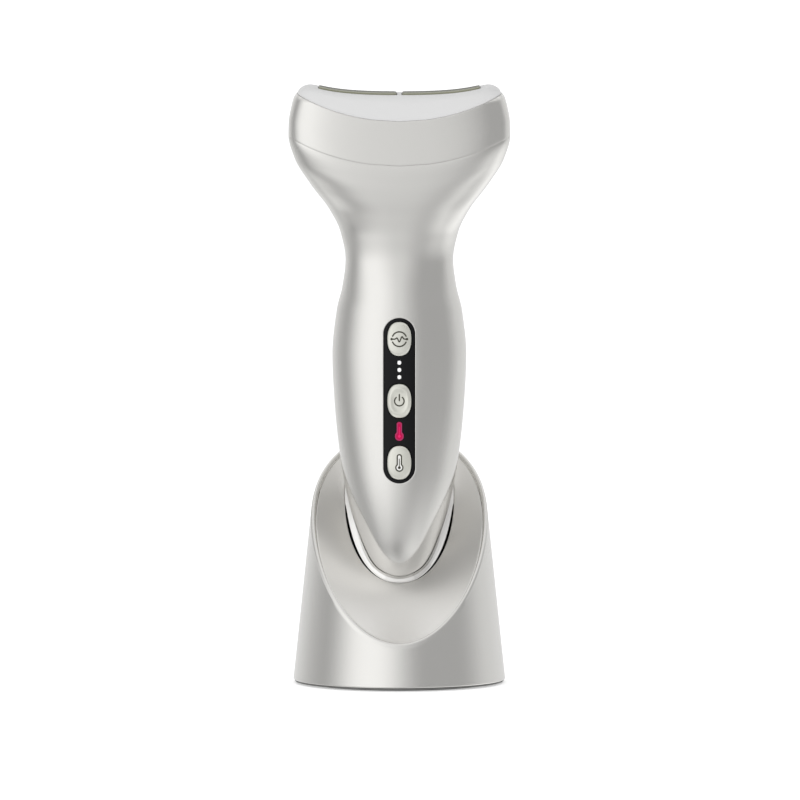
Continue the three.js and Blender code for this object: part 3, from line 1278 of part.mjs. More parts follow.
addShells();
addCollar();
addBezel();
addPlates();
addTiles();
addHeatSink();
addSensor();
addFan();
addStrip();
addButtons();
addLights();
addControlBoard();
addInnerFrame();
addBattery();
addVibrationMotor();
addChargeContacts();
addDockShell();
place(dock, 'dock_dish', aroundDock(dishProfile), PAINT);
addCup();
addPins();
addBase();
addBallast();
addDockBoard();

const group = new THREE.Group();
group.add(dock, handset);
export default group;
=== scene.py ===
"""Looks of the hot and cold skincare handset and its charging dock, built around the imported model.

Sizes below are millimetres in the model's own frame: +Z up, the front faces -Y. mesh_object() turns them to metres.
"""

import math

import bmesh
import bpy
import numpy as np
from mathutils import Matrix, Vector


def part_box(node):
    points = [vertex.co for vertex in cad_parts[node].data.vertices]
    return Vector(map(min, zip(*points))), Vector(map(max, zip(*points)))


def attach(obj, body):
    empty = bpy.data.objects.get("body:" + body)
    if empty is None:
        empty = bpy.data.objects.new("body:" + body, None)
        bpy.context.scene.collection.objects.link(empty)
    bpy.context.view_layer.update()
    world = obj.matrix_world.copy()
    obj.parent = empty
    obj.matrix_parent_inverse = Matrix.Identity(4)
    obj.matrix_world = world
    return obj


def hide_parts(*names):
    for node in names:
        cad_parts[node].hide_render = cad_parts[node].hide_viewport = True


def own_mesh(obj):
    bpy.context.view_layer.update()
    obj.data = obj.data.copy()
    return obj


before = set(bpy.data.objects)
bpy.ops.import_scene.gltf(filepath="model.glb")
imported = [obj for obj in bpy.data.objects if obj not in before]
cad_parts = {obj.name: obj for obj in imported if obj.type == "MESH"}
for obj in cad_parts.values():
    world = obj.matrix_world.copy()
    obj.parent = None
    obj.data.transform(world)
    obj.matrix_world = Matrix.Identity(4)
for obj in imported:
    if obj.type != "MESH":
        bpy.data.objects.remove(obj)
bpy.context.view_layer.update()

MM = 0.001

# Camera and picture
EYE = (0.24, -5000, 466.65)
AIM = (0.24, 0, 101.95)
PICTURE_WIDTH = 288
SENSOR_WIDTH = 36
CLIP_START, CLIP_END = 0.1, 100

# Soft lights by azimuth from the front, turning to the right: azimuth, half width and strength
LEVEL_LIGHTS = ((-33, 67, 0.78), (124, 61, 0.33), (-164, 84, 0.36))
LEVEL_SURROUND = 0.49
LOW_LIGHTS = ((-38, 44, 0.20), (29, 45, 0.32), (122, 137, 0.89), (-134, 93, 0.30))
LOW_SURROUND = 0.39
GROUND_LIGHTS = ((-70, 120, 0.45),)
GROUND_SURROUND = 0.66
# Overhead, by the angle from the front horizon over the top: start, end and level at the end
CEILING_FRONT = 0.96
CEILING_STEPS = ((72, 84, 0.86), (88, 98, 1.10), (108, 116, 1.0))
# Elevations between which one ring of lights gives way to the next
GROUND_TO_LOW = (-66, -28)
LOW_TO_LEVEL = (-37, -3)
LEVEL_TO_CEILING = (28, 52)

# Floor, in metres
FLOOR_RADIUS = 40
FLOOR_WHITE = 0.88
FLOOR_GLOW = 0.42

# Finishes
GRAIN_SPAN = (0.3, 0.7)
GLOSS_SPREAD = 0.06
BROAD_SCALE = 60

# Clearances
SEAM_GAP = 0.05
SEAM_SINK = 0.1
FIT_GAP = 0.3
FINE_GAP = 0.1
SEAM_ROUND = 0.12
EDGE_ROUND = 0.12
CUT_REACH = 40
SMOOTH_ANGLE = 30

# Dock
FOOT_RADIUS = 38.3
DOCK_TAPER = 0.105
DOCK_WALL = 2.2
RIM_MID_LEVEL = 63.9
RIM_REAR_RISE = 30.7
RIM_FRONT_DROP = 50.4
LIP_WIDTH = 1.8
LIP_DROP = 0.8
LIP_SQUARENESS = 2.5
LEDGE_WIDTH = 1.5
LEDGE_DEPTH = 3
DISH_THICKNESS = 2
DISH_SAG = 0.4
DISH_EDGE_ROUND = 0.2
DISH_GAP = 0.05
CUP_HUG = 0.04
CUP_CLIMB = 0.9
WELL_HALF_WIDTH = 19.7
WELL_CENTRE_Y = 10
WELL_FRONT_REACH = 19
WELL_REAR_REACH = 11.5
WELL_SQUARENESS = 2.18
WELL_RISE = 31
WELL_REAR_DIP = 6.1
WELL_SKIRT = 3
WELL_EDGE_ROUND = 0.6
WELL_EDGE_DROP = 1.2
WELL_FOOT_WIDTH = 1.2
WELL_SLIT = 0.8
SLIT_MIDDLE_Y = -0.4
SLIT_REACH = 8
SLIT_LEAST = 0.03
CUP_RIM_WIDTH = 1.7
CUP_RIM_RISE = 0.4
CUP_FLOOR_LEVEL = 36.35
CUP_FLOOR_THICKNESS = 2.2
CUP_FIT = 0.6
CUP_LEAST_RIM = 0.7
CUP_EDGE_DROP = 0.6
CUP_EDGE_INSET = 0.3
CUP_EDGE_RISE = 0.35
SHELL_BOTTOM = 1.2
SHELL_FOOT_ROUND = 0.5
SOCKET_LEVEL = 15.05
SOCKET_HALF_WIDTH = 4.5
SOCKET_HALF_HEIGHT = 1.65
SOCKET_DEPTH = 8
SOCKET_REACH = 60
MOUTH_ROUND = 0.35

# Charge pins and contacts
CONTACT_OFFSET = 2.7
CONTACT_HOLE_RADIUS = 1.5
PIN_HOLE_RADIUS = 1.2
SPRING_WIRE_RADIUS = 0.2
SPRING_TURNS = 3
SPRING_STEPS = 72
SPRING_WIRE_SIDES = 12

# Handset body
TIP_LEVEL = CUP_FLOOR_LEVEL + FIT_GAP
TIP_HALF_WIDTH = 5.3
TIP_HALF_DEPTH = 6.4
NOSE_LEVEL = 42.6
NOSE_HALF = (10.9, 12.8)
TIP_FLOOR = 3
FLOOR_BLEND = 0.15
TIP_ROUNDING = 2.6
TIP_EDGE_ROUND = 0.5
APEX_LEVEL = TIP_LEVEL - TIP_ROUNDING
GRIP_LEVEL = TIP_LEVEL + 82
GRIP_HALF = (24.15, 18.8)
GRIP_SQUARENESS = 2.2
WAIST_LEVEL = GRIP_LEVEL + 33.6
WAIST_HALF = (19.4, 14)
WAIST_SQUARENESS = 2.45
HEAD_LEVEL = WAIST_LEVEL + 34.9
HEAD_HALF = (39.9, 16.6)
HEAD_SQUARENESS = 5.7
BODY_WALL = 2.4
SEAM_RADIUS = 82
WARP_LEVEL = GRIP_LEVEL + 18
# Stations between two levels: shares of the way, the half width and the half depth, and the squareness
LOWER_SHAPE = ((0.204, 0.618, 0.85, 2.1), (0.488, 0.851, 0.965, 2.15), (0.796, 0.969, 0.995, 2.2))
FALL_SHAPE = ((0.476, 0.67, 0.68, 2.2), (0.73, 0.232, 0.24, 2.22))
FLARE_SHAPE = ((0.262, 0.09, 0.22, 2.7), (0.467, 0.299, 0.47, 3.1), (0.644, 0.626, 0.7, 3.8), (0.809, 0.89, 0.87, 4.9))
COLLAR_SHAPE = ((0.3, 0.04, 1, 5.9), (0.58, 0.27, 1, 5.9), (0.88, 0.66, 1, 5.7))

# Handset head
COLLAR_HEIGHT = 16
COLLAR_TOP_LEVEL = HEAD_LEVEL + COLLAR_HEIGHT
COLLAR_TOP_HALF_WIDTH = HEAD_HALF[0] - 3.1
COLLAR_SEAM_RADIUS = 76
BEZEL_TOP_LEVEL = COLLAR_TOP_LEVEL + 9.1
BEZEL_STEP = 0.3
BEZEL_SIDE_ROUND = 3.6
BEZEL_EDGE_ROUND = 1.4
BEZEL_SQUARENESS = 5.4
HEAD_BOW = 0.05
BEZEL_ROOF = 2.2
BEZEL_TURN = 0.97
BEZEL_ROLL_START = 0.72
BEZEL_ROLL = 0.95
BEZEL_FOOT_LEVEL = COLLAR_TOP_LEVEL + SEAM_GAP / 2
BEZEL_HALF_WIDTH = COLLAR_TOP_HALF_WIDTH - BEZEL_STEP
BEZEL_CREST = BEZEL_HALF_WIDTH - BEZEL_SIDE_ROUND - 1.4
CREST_BLEND = 3
TOP_MID_RADIUS = 415
TOP_END_RADIUS = 40.7
PLATE_NEAR = 1.05
PLATE_FAR = BEZEL_HALF_WIDTH - BEZEL_SIDE_ROUND - 4
PLATE_HALF_DEPTH = 8
PLATE_CORNER = 1.8
PLATE_TOP_LEVEL = BEZEL_TOP_LEVEL + 0.6
PLATE_THICKNESS = 3.8
PLATE_EDGE = 0.35
WINDOW_LOW, WINDOW_HIGH = 195, 230
# Painted sheen and shade on the contact plates: lighter colour at the front edge, darker towards the rear
PLATE_SHEEN_PAINTED_COLOUR = (0.32, 0.32, 0.24)
PLATE_SHADE_PAINTED_COLOUR = (0.045, 0.045, 0.03)
PLATE_SHADE_END = 0.6
PLATE_GRAIN = 0.1

# Control strip
STRIP_HALF_WIDTH = 5.55
STRIP_LENGTH = 59.12
STRIP_LEVEL = TIP_LEVEL + 66.3
STRIP_SINK = 0.1
STRIP_THICKNESS = 1
POCKET_ROUND = 0.3
SEAL_GROW = 0.08
SEAL_LEAST_GROW = 0.01
SEAL_BACK = 0.9
SEAL_SINK = 0.14
BUTTON_HALF_WIDTH = 4.3
BUTTON_HALF_HEIGHT = 6.05
BUTTON_SQUARENESS = 2.35
BUTTON_PITCH = 22.26
BUTTON_PROUD = 0.4
BUTTON_BACK = 4.4
BUTTON_BACK_ROUND = 0.3
KEY_DOME = 0.42
KEY_ROLL = 0.42
KEY_ROLL_SHARE = 0.2
KEY_EDGE_STEPS = (0, -0.03, -0.08, -0.16, -0.26, -0.4, -0.56, -0.75)
POWER_DISH = 0.05
POWER_RIM = 0.36
POWER_RIM_SHARE = 0.74
POWER_RIM_WIDTH = 0.15
LIGHT_RADIUS = 0.65
LIGHT_PITCH = 2.6
LIGHT_LENGTH = 1.2
LIGHT_FACE = ((0, 0.12), (-0.12, 0.03), (-0.4, -0.03), (-LIGHT_RADIUS, -0.05))
LIGHT_LEVEL = STRIP_LEVEL + BUTTON_PITCH / 2 - 0.02
LIGHT_LEVELS = [LIGHT_LEVEL + step * LIGHT_PITCH for step in (1, 0, -1)]
LENS_BULB_RADIUS = 1.55
LENS_STEM_HALF_WIDTH = 0.95
LENS_HEIGHT = 6.6
LENS_SINK = 0.06
LENS_EDGE = 0.08
LENS_BASE = STRIP_LEVEL - (BUTTON_PITCH + LENS_HEIGHT) / 2 + 0.13
LENS_BULB_LEVEL = LENS_BASE + LENS_BULB_RADIUS
LENS_TOP = LENS_BASE + LENS_HEIGHT

# Symbols
INK_LIFT = 0.03
STROKE = 0.47
RING_RADIUS = 2.62
RING_STROKE = 0.5
WAVE = ((-2.5, 0), (-1.45, 0), (-0.79, 0.58), (0, -1.3), (0.93, 1.15), (1.55, 0.05), (2.5, 0))
WAVE_STROKE = 0.46
CORNER_CUT = 0.35
POWER_RADIUS = 1.71
TUBE_BULB = 1.5
TUBE_STEM = 0.98
TUBE_BULB_DROP = 1.7
TUBE_RISE = 3.2

# Vents
INTAKE_SLOTS = 4
INTAKE_PITCH = 3.6
INTAKE_HALF_LENGTH = 6.8
OUTLET_SLOTS = 5
OUTLET_PITCH = 6
OUTLET_HALF_LENGTH = 3.4
SLOT_HALF_WIDTH = 0.65
SLOT_ROUND = 0.35
SLOT_DEPTH = 12

# Fineness of the meshes
RING_STEPS = 128
DOCK_STEPS = 320
OUTLINE_STEPS = 96

RIM_SLOPE = (RIM_REAR_RISE + RIM_FRONT_DROP) / (2 * FOOT_RADIUS)
RIM_BOW = (RIM_FRONT_DROP - RIM_REAR_RISE) / (2 * FOOT_RADIUS**2)
BUTTON_LEVELS = {"mode": STRIP_LEVEL + BUTTON_PITCH, "power": STRIP_LEVEL, "temperature": STRIP_LEVEL - BUTTON_PITCH}


# Camera, floor and light

def make_camera():
    data = bpy.data.cameras.new("camera")
    data.sensor_width = SENSOR_WIDTH
    eye, aim = Vector(EYE) * MM, Vector(AIM) * MM
    data.lens = SENSOR_WIDTH * (aim - eye).length / (PICTURE_WIDTH * MM)
    data.clip_start, data.clip_end = CLIP_START, CLIP_END
    camera = bpy.data.objects.new("camera", data)
    camera.location = eye
    camera.rotation_euler = (aim - eye).to_track_quat("-Z", "Y").to_euler()
    bpy.context.collection.objects.link(camera)
    bpy.context.scene.camera = camera


def add_node(tree, kind, inputs=(), **values):
    """A node with its settings; each of its inputs takes a constant or the link of another node."""
    node = tree.nodes.new(kind)
    for name, value in values.items():
        setattr(node, name, value)
    for key, value in dict(inputs).items():
        if isinstance(value, bpy.types.NodeSocket):
            tree.links.new(value, node.inputs[key])
        else:
            node.inputs[key].default_value = value
    return node


def math_node(tree, operation, *terms):
    return add_node(tree, "ShaderNodeMath", enumerate(terms), operation=operation).outputs[0]


def map_range(tree, value, low, high, low_out, high_out, kind="SMOOTHERSTEP"):
    ends = {"Value": value, "From Min": low, "From Max": high, "To Min": low_out, "To Max": high_out}
    return add_node(tree, "ShaderNodeMapRange", ends, interpolation_type=kind).outputs["Result"]


def make_world():
    """Soft studio light that depends on direction alone: three rings of lights under a ceiling."""
    world = bpy.data.worlds.new("studio")
    bpy.context.scene.world = world
    world.use_nodes = True
    tree = world.node_tree
    tree.nodes.clear()
    way = add_node(tree, "ShaderNodeTexCoord").outputs["Generated"]
    x, y, z = add_node(tree, "ShaderNodeSeparateXYZ", {0: way}).outputs

    def calc(operation, *terms):
        return math_node(tree, operation, *terms)

    def mix(share, low, high):
        return calc("ADD", calc("MULTIPLY", low, calc("SUBTRACT", 1, share)), calc("MULTIPLY", share, high))

    flat = calc("SQRT", calc("SUBTRACT", 1.0001, calc("MULTIPLY", z, z)))

    def ring(lights, surround):
        total = surround
        for azimuth, width, strength in lights:
            turn = math.radians(azimuth)
            along = calc("ADD", calc("MULTIPLY", x, math.sin(turn)), calc("MULTIPLY", y, -math.cos(turn)))
            facing = calc("MINIMUM", calc("MAXIMUM", calc("DIVIDE", along, flat), -1), 1)
            glow = map_range(tree, calc("ARCCOSINE", facing), 0, math.radians(width), strength, 0)
            total = calc("ADD", total, glow)
        return total

    def climb(span):
        low, high = (math.sin(math.radians(elevation)) for elevation in span)
        return map_range(tree, z, low, high, 0, 1)

    light = mix(climb(LOW_TO_LEVEL), ring(LOW_LIGHTS, LOW_SURROUND), ring(LEVEL_LIGHTS, LEVEL_SURROUND))
    light = mix(climb(GROUND_TO_LOW), ring(GROUND_LIGHTS, GROUND_SURROUND), light)
    over = calc("ARCTAN2", z, calc("MULTIPLY", y, -1))
    ceiling = CEILING_FRONT
    for start, end, strength in CEILING_STEPS:
        ceiling = mix(map_range(tree, over, math.radians(start), math.radians(end), 0, 1), ceiling, strength)
    light = mix(climb(LEVEL_TO_CEILING), light, ceiling)
    glow = add_node(tree, "ShaderNodeBackground", {"Color": (1, 1, 1, 1), "Strength": light})
    add_node(tree, "ShaderNodeOutputWorld", {0: glow.outputs[0]})


def make_floor():
    mesh = bpy.data.meshes.new("floor")
    shape = bmesh.new()
    bmesh.ops.create_circle(shape, cap_ends=True, radius=FLOOR_RADIUS, segments=96)
    shape.to_mesh(mesh)
    shape.free()
    floor = bpy.data.objects.new("floor", mesh)
    bpy.context.collection.objects.link(floor)
    glow = {"Emission_Color": (1, 1, 1, 1), "Emission_Strength": FLOOR_GLOW}
    white = (FLOOR_WHITE, FLOOR_WHITE, FLOOR_WHITE, 1)
    mesh.materials.append(new_material("floor_white", 0.9, Base_Color=white, Specular_IOR_Level=0, **glow)[0])
    floor.visible_glossy = False


# Materials

MATERIALS = {}

# Colour, its spread, scale of the grain, roughness, metallic, depth of the grain, specular level
FINISHES = {
    "silver_paint": ((0.705, 0.697, 0.675), 0.006, 1400, 0.16, 0.96, 0, 0.5),
    # Painted light: the silver paint with a lighter colour, brightening the dish and cup liner where the handset
    # shades them
    "dish_paint": ((0.87, 0.86, 0.84), 0.006, 1400, 0.3, 0.96, 0, 0.5),
    "bezel_white": ((0.71, 0.71, 0.71), 0.01, 3800, 0.55, 0, 0.001, 0.25),
    "gloss_black": ((0.006, 0.0062, 0.007), 0.04, 2600, 0.2, 0, 0, 0.14),
    "seal_black": ((0.003, 0.003, 0.003), 0.1, 2600, 0.7, 0, 0, 0.05),
    "key_ivory": ((0.68, 0.68, 0.62), 0.012, 1800, 0.2, 0.45, 0, 0.6),
    "icon_ink": ((0.05, 0.049, 0.036), 0.1, 3000, 0.6, 0, 0, 0.2),
    "icon_white": ((0.85, 0.85, 0.82), 0.01, 3000, 0.5, 0, 0.0004, 0.5),
    "base_grey": ((0.17, 0.17, 0.165), 0.08, 2400, 0.45, 0, 0, 0.5),
    "dark_plastic": ((0.03, 0.03, 0.032), 0.1, 2400, 0.5, 0, 0.004, 0.5),
    "frame_plastic": ((0.47, 0.48, 0.51), 0.05, 2000, 0.5, 0, 0.004, 0.5),
    "pad_rubber": ((0.042, 0.042, 0.042), 0.12, 2200, 0.85, 0, 0.02, 0.5),
    "ceramic": ((0.82, 0.82, 0.80), 0.03, 2400, 0.6, 0, 0.002, 0.5),
    "aluminium": ((0.62, 0.63, 0.64), 0.04, 2600, 0.35, 1, 0.0015, 0.5),
    "steel": ((0.52, 0.52, 0.52), 0.05, 2800, 0.3, 1, 0.001, 0.5),
    "gold": ((0.80, 0.60, 0.26), 0.04, 3000, 0.25, 1, 0.0008, 0.5),
    "board_green": ((0.02, 0.12, 0.055), 0.12, 1200, 0.45, 0, 0.004, 0.5),
    "cell_wrap": ((0.06, 0.17, 0.36), 0.06, 900, 0.35, 0, 0.002, 0.5),
}
DARK_FINISH = ((0.006, 0.006, 0.006), 0.03, 2400, 0.3, 0, 0, 0.1)
GLOWS = {
    "light_white": (1, 1, 1),
    "heat_red": (0.515, 0.0006, 0.07),
    "heat_rim": (0.376, 0.045, 0.141),
    "heat_core": (0.83, 0.021, 0.156),
}
# Slots of the frame whose finish has another name
FINISH_OF_SLOT = {
    "paint": "silver_paint",
    "key_grey": "key_ivory",
    "lens_red": "heat_red",
    "heat_sink_metal": "aluminium",
}


def new_material(name, roughness, metallic=0.0, **sockets):
    material = bpy.data.materials.new(name)
    material.use_nodes = True
    shader = material.node_tree.nodes["Principled BSDF"]
    for socket, value in {"Roughness": roughness, "Metallic": metallic, **sockets}.items():
        shader.inputs[socket.replace("_", " ")].default_value = value
    return material, material.node_tree, shader


def noise(tree, scale, detail=2.0):
    place = add_node(tree, "ShaderNodeTexCoord").outputs["Object"]
    return add_node(tree, "ShaderNodeTexNoise", {"Vector": place, "Scale": scale, "Detail": detail}).outputs["Fac"]


def vary_colour(tree, shader, value, colours, span=(0, 1)):
    ramp = add_node(tree, "ShaderNodeValToRGB", {"Fac": value})
    for stop, place, colour in zip(ramp.color_ramp.elements, span, colours):
        stop.position = place
        stop.color = (*colour, 1)
    tree.links.new(ramp.outputs["Color"], shader.inputs["Base Color"])


def speckled(name, colour, spread, scale, roughness, metallic, bump, specular, **sockets):
    """A finish whose colour, gloss and grain all vary a little, as moulded and painted ones do."""
    sockets["Specular_IOR_Level"] = specular
    material, tree, shader = new_material(name, roughness, metallic, **sockets)
    fine, broad = noise(tree, scale), noise(tree, scale / BROAD_SCALE, 3)
    colours = [[min(channel * share, 1) for channel in colour] for share in (1 - spread, 1 + spread)]
    vary_colour(tree, shader, fine, colours, GRAIN_SPAN)
    rough = (roughness * (1 - GLOSS_SPREAD), roughness * (1 + GLOSS_SPREAD))
    tree.links.new(map_range(tree, broad, *GRAIN_SPAN, *rough, "LINEAR"), shader.inputs["Roughness"])
    if bump:
        grain = add_node(tree, "ShaderNodeBump", {"Strength": 1, "Distance": bump * MM, "Height": fine})
        tree.links.new(grain.outputs["Normal"], shader.inputs["Normal"])
    MATERIALS[name] = material


def plate_with_painted_sheen_and_shade():
    """A satin plate whose colour darkens from its front edge to its rear edge: a painted sheen at the front and
    painted shade towards the rear.
    """
    material, tree, shader = new_material("plate_metal", 0.4, Specular_IOR_Level=0.1)
    place = add_node(tree, "ShaderNodeTexCoord").outputs["Object"]
    y = add_node(tree, "ShaderNodeSeparateXYZ", {0: place}).outputs[1]
    reach = PLATE_HALF_DEPTH * MM
    # Painted light: the colour runs from a painted sheen at the front edge to painted shade at the rear
    way = map_range(tree, y, -reach, PLATE_SHADE_END * reach, 0, 1)
    centred = math_node(tree, "SUBTRACT", noise(tree, 2400), 0.5)
    shade = math_node(tree, "ADD", way, math_node(tree, "MULTIPLY", centred, PLATE_GRAIN))
    vary_colour(tree, shader, shade, (PLATE_SHEEN_PAINTED_COLOUR, PLATE_SHADE_PAINTED_COLOUR))
    MATERIALS["plate_metal"] = material


def make_materials():
    for name, finish in FINISHES.items():
        speckled(name, *finish)
    plate_with_painted_sheen_and_shade()
    for name, colour in GLOWS.items():
        speckled(name, *DARK_FINISH, Emission_Color=(*colour, 1), Emission_Strength=1)


# Meshes

def mesh_object(name, points, faces, material=None, body=None, slot=None, nodes=(), angle=SMOOTH_ANGLE):
    """A piece from points in millimetres. It rides on a body and stands for the named nodes of the frame."""
    mesh = bpy.data.meshes.new(name)
    mesh.from_pydata((np.asarray(points, float) * MM).tolist(), [], faces)
    shape = bmesh.new()
    shape.from_mesh(mesh)
    bmesh.ops.remove_doubles(shape, verts=shape.verts, dist=1e-3 * MM)
    bmesh.ops.dissolve_degenerate(shape, edges=shape.edges, dist=1e-3 * MM)
    bmesh.ops.recalc_face_normals(shape, faces=shape.faces)
    shape.to_mesh(mesh)
    shape.free()
    piece = bpy.data.objects.new(name, mesh)
    bpy.context.collection.objects.link(piece)
    if material:
        mesh.materials.append(MATERIALS[material])
    finish_shading(piece, angle)
    if body:
        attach(piece, body)
    if nodes:
        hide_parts(*nodes)
    return piece


def finish_shading(piece, angle):
    piece.data.shade_smooth()
    piece.data.set_sharp_from_angle(angle=math.radians(angle))


def cutter(points, faces):
    return mesh_object("cutter", points, faces)


def combine(piece, others, operation="DIFFERENCE", angle=SMOOTH_ANGLE):
    """Cuts or joins other solids into the piece, then removes them."""
    for other in others:
        step = piece.modifiers.new("step", "BOOLEAN")
        step.operation, step.solver, step.object = operation, "MANIFOLD", other
    bpy.context.view_layer.update()
    seen = piece.evaluated_get(bpy.context.evaluated_depsgraph_get())
    old, mesh = piece.data, bpy.data.meshes.new_from_object(seen)
    piece.modifiers.clear()
    piece.data = mesh
    mesh.name = piece.name
    bpy.data.meshes.remove(old)
    for other in others:
        bpy.data.objects.remove(other)
    finish_shading(piece, angle)


def quads(length, pairs):
    """Quads between pairs of closed rows, each of the same length."""
    faces = []
    for j, after in pairs:
        for i in range(length):
            k = (i + 1) % length
            faces.append((j * length + i, j * length + k, after * length + k, after * length + i))
    return faces


def solid_of(rings, caps=False):
    """A solid through rings that shrink to nothing at its ends, or that flat caps close there."""
    rings = np.asarray(rings, float)
    count, length = rings.shape[:2]
    faces = quads(length, [(j, j + 1) for j in range(count - 1)])
    if caps:
        faces.append(tuple(range(length)))
        faces.append(tuple((count - 1) * length + i for i in reversed(range(length))))
    return rings.reshape(-1, 3), faces


def ring_solid(rows):
    """A closed ring through rows of points, each row going once around."""
    rings = np.swapaxes(np.asarray(rows, float), 0, 1)
    steps, length = rings.shape[:2]
    return rings.reshape(-1, 3), quads(length, [(j, (j + 1) % steps) for j in range(steps)])


def full_turn(steps):
    return np.arange(steps) * 2 * math.pi / steps


def quarter(steps, first=0, degrees=90):
    """Along a rounded edge: how far it still is from its end, and how far it has turned in."""
    turns = [math.radians(degrees) * i / steps for i in range(first, steps + 1)]
    return [(1 - math.sin(turn), 1 - math.cos(turn)) for turn in turns]


# The handset's skin

def smooth_curve(points):
    """A smooth curve through points that never swings past them."""
    xs, ys = np.array(points, float).T
    rise = np.diff(ys) / np.diff(xs)
    between = [2 * a * b / (a + b) if a * b > 0 else 0 for a, b in zip(rise, rise[1:])]
    tangent = np.array([rise[0], *between, rise[-1]])

    def curve(value):
        x = np.clip(np.asarray(value, float), xs[0], xs[-1])
        i = np.clip(np.searchsorted(xs, x, side="right") - 1, 0, len(xs) - 2)
        span = xs[i + 1] - xs[i]
        t = (x - xs[i]) / span
        start = ys[i] * (1 + 2 * t) * (1 - t) ** 2 + tangent[i] * span * t * (1 - t) ** 2
        end = ys[i + 1] * (3 - 2 * t) * t * t + tangent[i + 1] * span * (t - 1) * t * t
        return start + end

    return curve


def lerp(low, high, share):
    return low + (high - low) * share


def handset_stations():
    """Rows of level, half width, half depth and squareness, from the tip to the seam under the cap."""
    tip, top = (TIP_HALF_WIDTH, TIP_HALF_DEPTH), (COLLAR_TOP_HALF_WIDTH, HEAD_HALF[1])
    stations = []
    for low, high, half, square, start, end, shape in (
        (TIP_LEVEL, GRIP_LEVEL, tip, 2, (0, 0), GRIP_HALF, LOWER_SHAPE),
        (GRIP_LEVEL, WAIST_LEVEL, GRIP_HALF, GRIP_SQUARENESS, WAIST_HALF, GRIP_HALF, FALL_SHAPE),
        (WAIST_LEVEL, HEAD_LEVEL, WAIST_HALF, WAIST_SQUARENESS, WAIST_HALF, HEAD_HALF, FLARE_SHAPE),
        (HEAD_LEVEL, COLLAR_TOP_LEVEL, HEAD_HALF, HEAD_SQUARENESS, HEAD_HALF, top, COLLAR_SHAPE),
    ):
        stations.append((low, *half, square))
        for way, width, depth, square in shape:
            half = (lerp(start[0], end[0], width), lerp(start[1], end[1], depth))
            stations.append((lerp(low, high, way), *half, square))
    return stations + [(COLLAR_TOP_LEVEL, *top, BEZEL_SQUARENESS)]


def root_height(level):
    return np.sqrt(np.maximum(np.asarray(level, float) - APEX_LEVEL, 0))


STATIONS = handset_stations()
POINTS = [[(root_height(row[0]), row[column]) for row in STATIONS] for column in (1, 2, 3)]
for points, half in zip(POINTS, NOSE_HALF):
    points.insert(1, (root_height(NOSE_LEVEL), half))
CURVES = [smooth_curve(points) for points in POINTS]


def skin_size(level):
    """Half width, half depth and squareness of the handset's ring at a level."""
    return [curve(root_height(level)) for curve in CURVES]


def sag(x, radius):
    return radius - np.sqrt(radius**2 - x**2)


def warp(level):
    t = np.clip((level - WARP_LEVEL) / (HEAD_LEVEL - WARP_LEVEL), 0, 1)
    return t * t * (3 - 2 * t)


def seam_radius(level):
    return lerp(SEAM_RADIUS, COLLAR_SEAM_RADIUS, np.clip((level - HEAD_LEVEL) / COLLAR_HEIGHT, 0, 1))


def spread(count, pitch):
    return [(i - (count - 1) / 2) * pitch for i in range(count)]


def signed_power(value, power):
    return np.sign(value) * np.abs(value) ** power


def oval(angle, wide, deep, square, bow=0.0):
    """A squared oval; bow bends its flat front and back outwards."""
    across = signed_power(np.cos(angle), 2 / square)
    return wide * across, deep * signed_power(np.sin(angle), 2 / square) * (1 - bow * across**2)


def bow_at(level):
    return HEAD_BOW * np.clip((np.asarray(level, float) - WAIST_LEVEL) / (HEAD_LEVEL - WAIST_LEVEL), 0, 1)


def skin_ring(angle, level, inset=0.0, lift=None):
    """Points of the skin at a level; lift gives them another level than the one that their size is read at."""
    wide, deep, square = skin_size(level)
    x, y = oval(angle, wide - inset, deep - inset, square, bow_at(level))
    z = (level if lift is None else lift) + warp(level) * sag(x, seam_radius(level))
    return np.stack([x, y, z], -1)


def halve(low, high, beyond):
    """Closes in from both sides on the value where beyond() turns true."""
    for _ in range(40):
        middle = (low + high) / 2
        past = beyond(middle)
        low, high = np.where(past, low, middle), np.where(past, middle, high)
    return low, high


def flat_level(x, z):
    """The level whose ring passes a height z at x: undoes the upward bend of the rings."""

    def above(level):
        return level + warp(level) * sag(np.clip(x, -60, 60), seam_radius(level)) > z

    low, high = halve(APEX_LEVEL + 0.1 - 5, COLLAR_TOP_LEVEL + 5, above)
    return (low + high) / 2


def skin_depth(x, z):
    """How far the skin stands from the plane y = 0, in front and behind alike."""
    level = flat_level(x, z)
    wide, deep, square = skin_size(level)
    share = np.clip(np.abs(x) / wide, 0, 1)
    return deep * (1 - share**square) ** (1 / square) * (1 - bow_at(level) * share**2)


def on_front(depth):
    return lambda x, z: depth - skin_depth(x, z)


def on_rear(depth):
    return lambda x, z: skin_depth(x, z) - depth


def flat_at(y):
    return lambda x, z: np.full(np.shape(x), float(y))


# Outlines on the faces, as functions of how far they grow

def stadium(half_size, half_length, x, z, upright=True, steps=OUTLINE_STEPS):
    """A round-ended outline about (x, z)."""
    reach = half_length - half_size
    angle = full_turn(steps) + math.pi / steps

    def outline(grow):
        radius = max(half_size + grow, 0)
        across, along = radius * np.cos(angle), radius * np.sin(angle) + reach * np.sign(np.sin(angle))
        return (x + across, z + along) if upright else (x + along, z + across)

    return outline, half_size


def circle(radius, z):
    return stadium(radius, radius, 0, z, steps=48)


def key_outline(level):
    angle = full_turn(OUTLINE_STEPS)

    def outline(grow):
        wide, high = max(BUTTON_HALF_WIDTH + grow, 0), BUTTON_HALF_HEIGHT + grow
        x, z = oval(angle, wide, high, BUTTON_SQUARENESS)
        return x, z + level

    return outline, BUTTON_HALF_WIDTH


def relief(shape, steps):
    """A solid from rings of an outline: each step is (grow, place), where place gives y for x and z."""
    rings = []
    for grow, place in steps:
        x, z = shape[0](grow)
        rings.append(np.stack([x, place(x, z), z], -1))
    return solid_of(rings)


def inward(shape, place, start=0.0, steps=8):
    """Steps that shrink the outline to its middle line on one face."""
    return [(lerp(start, -shape[1], (i + 1) / steps), place) for i in range(steps)]


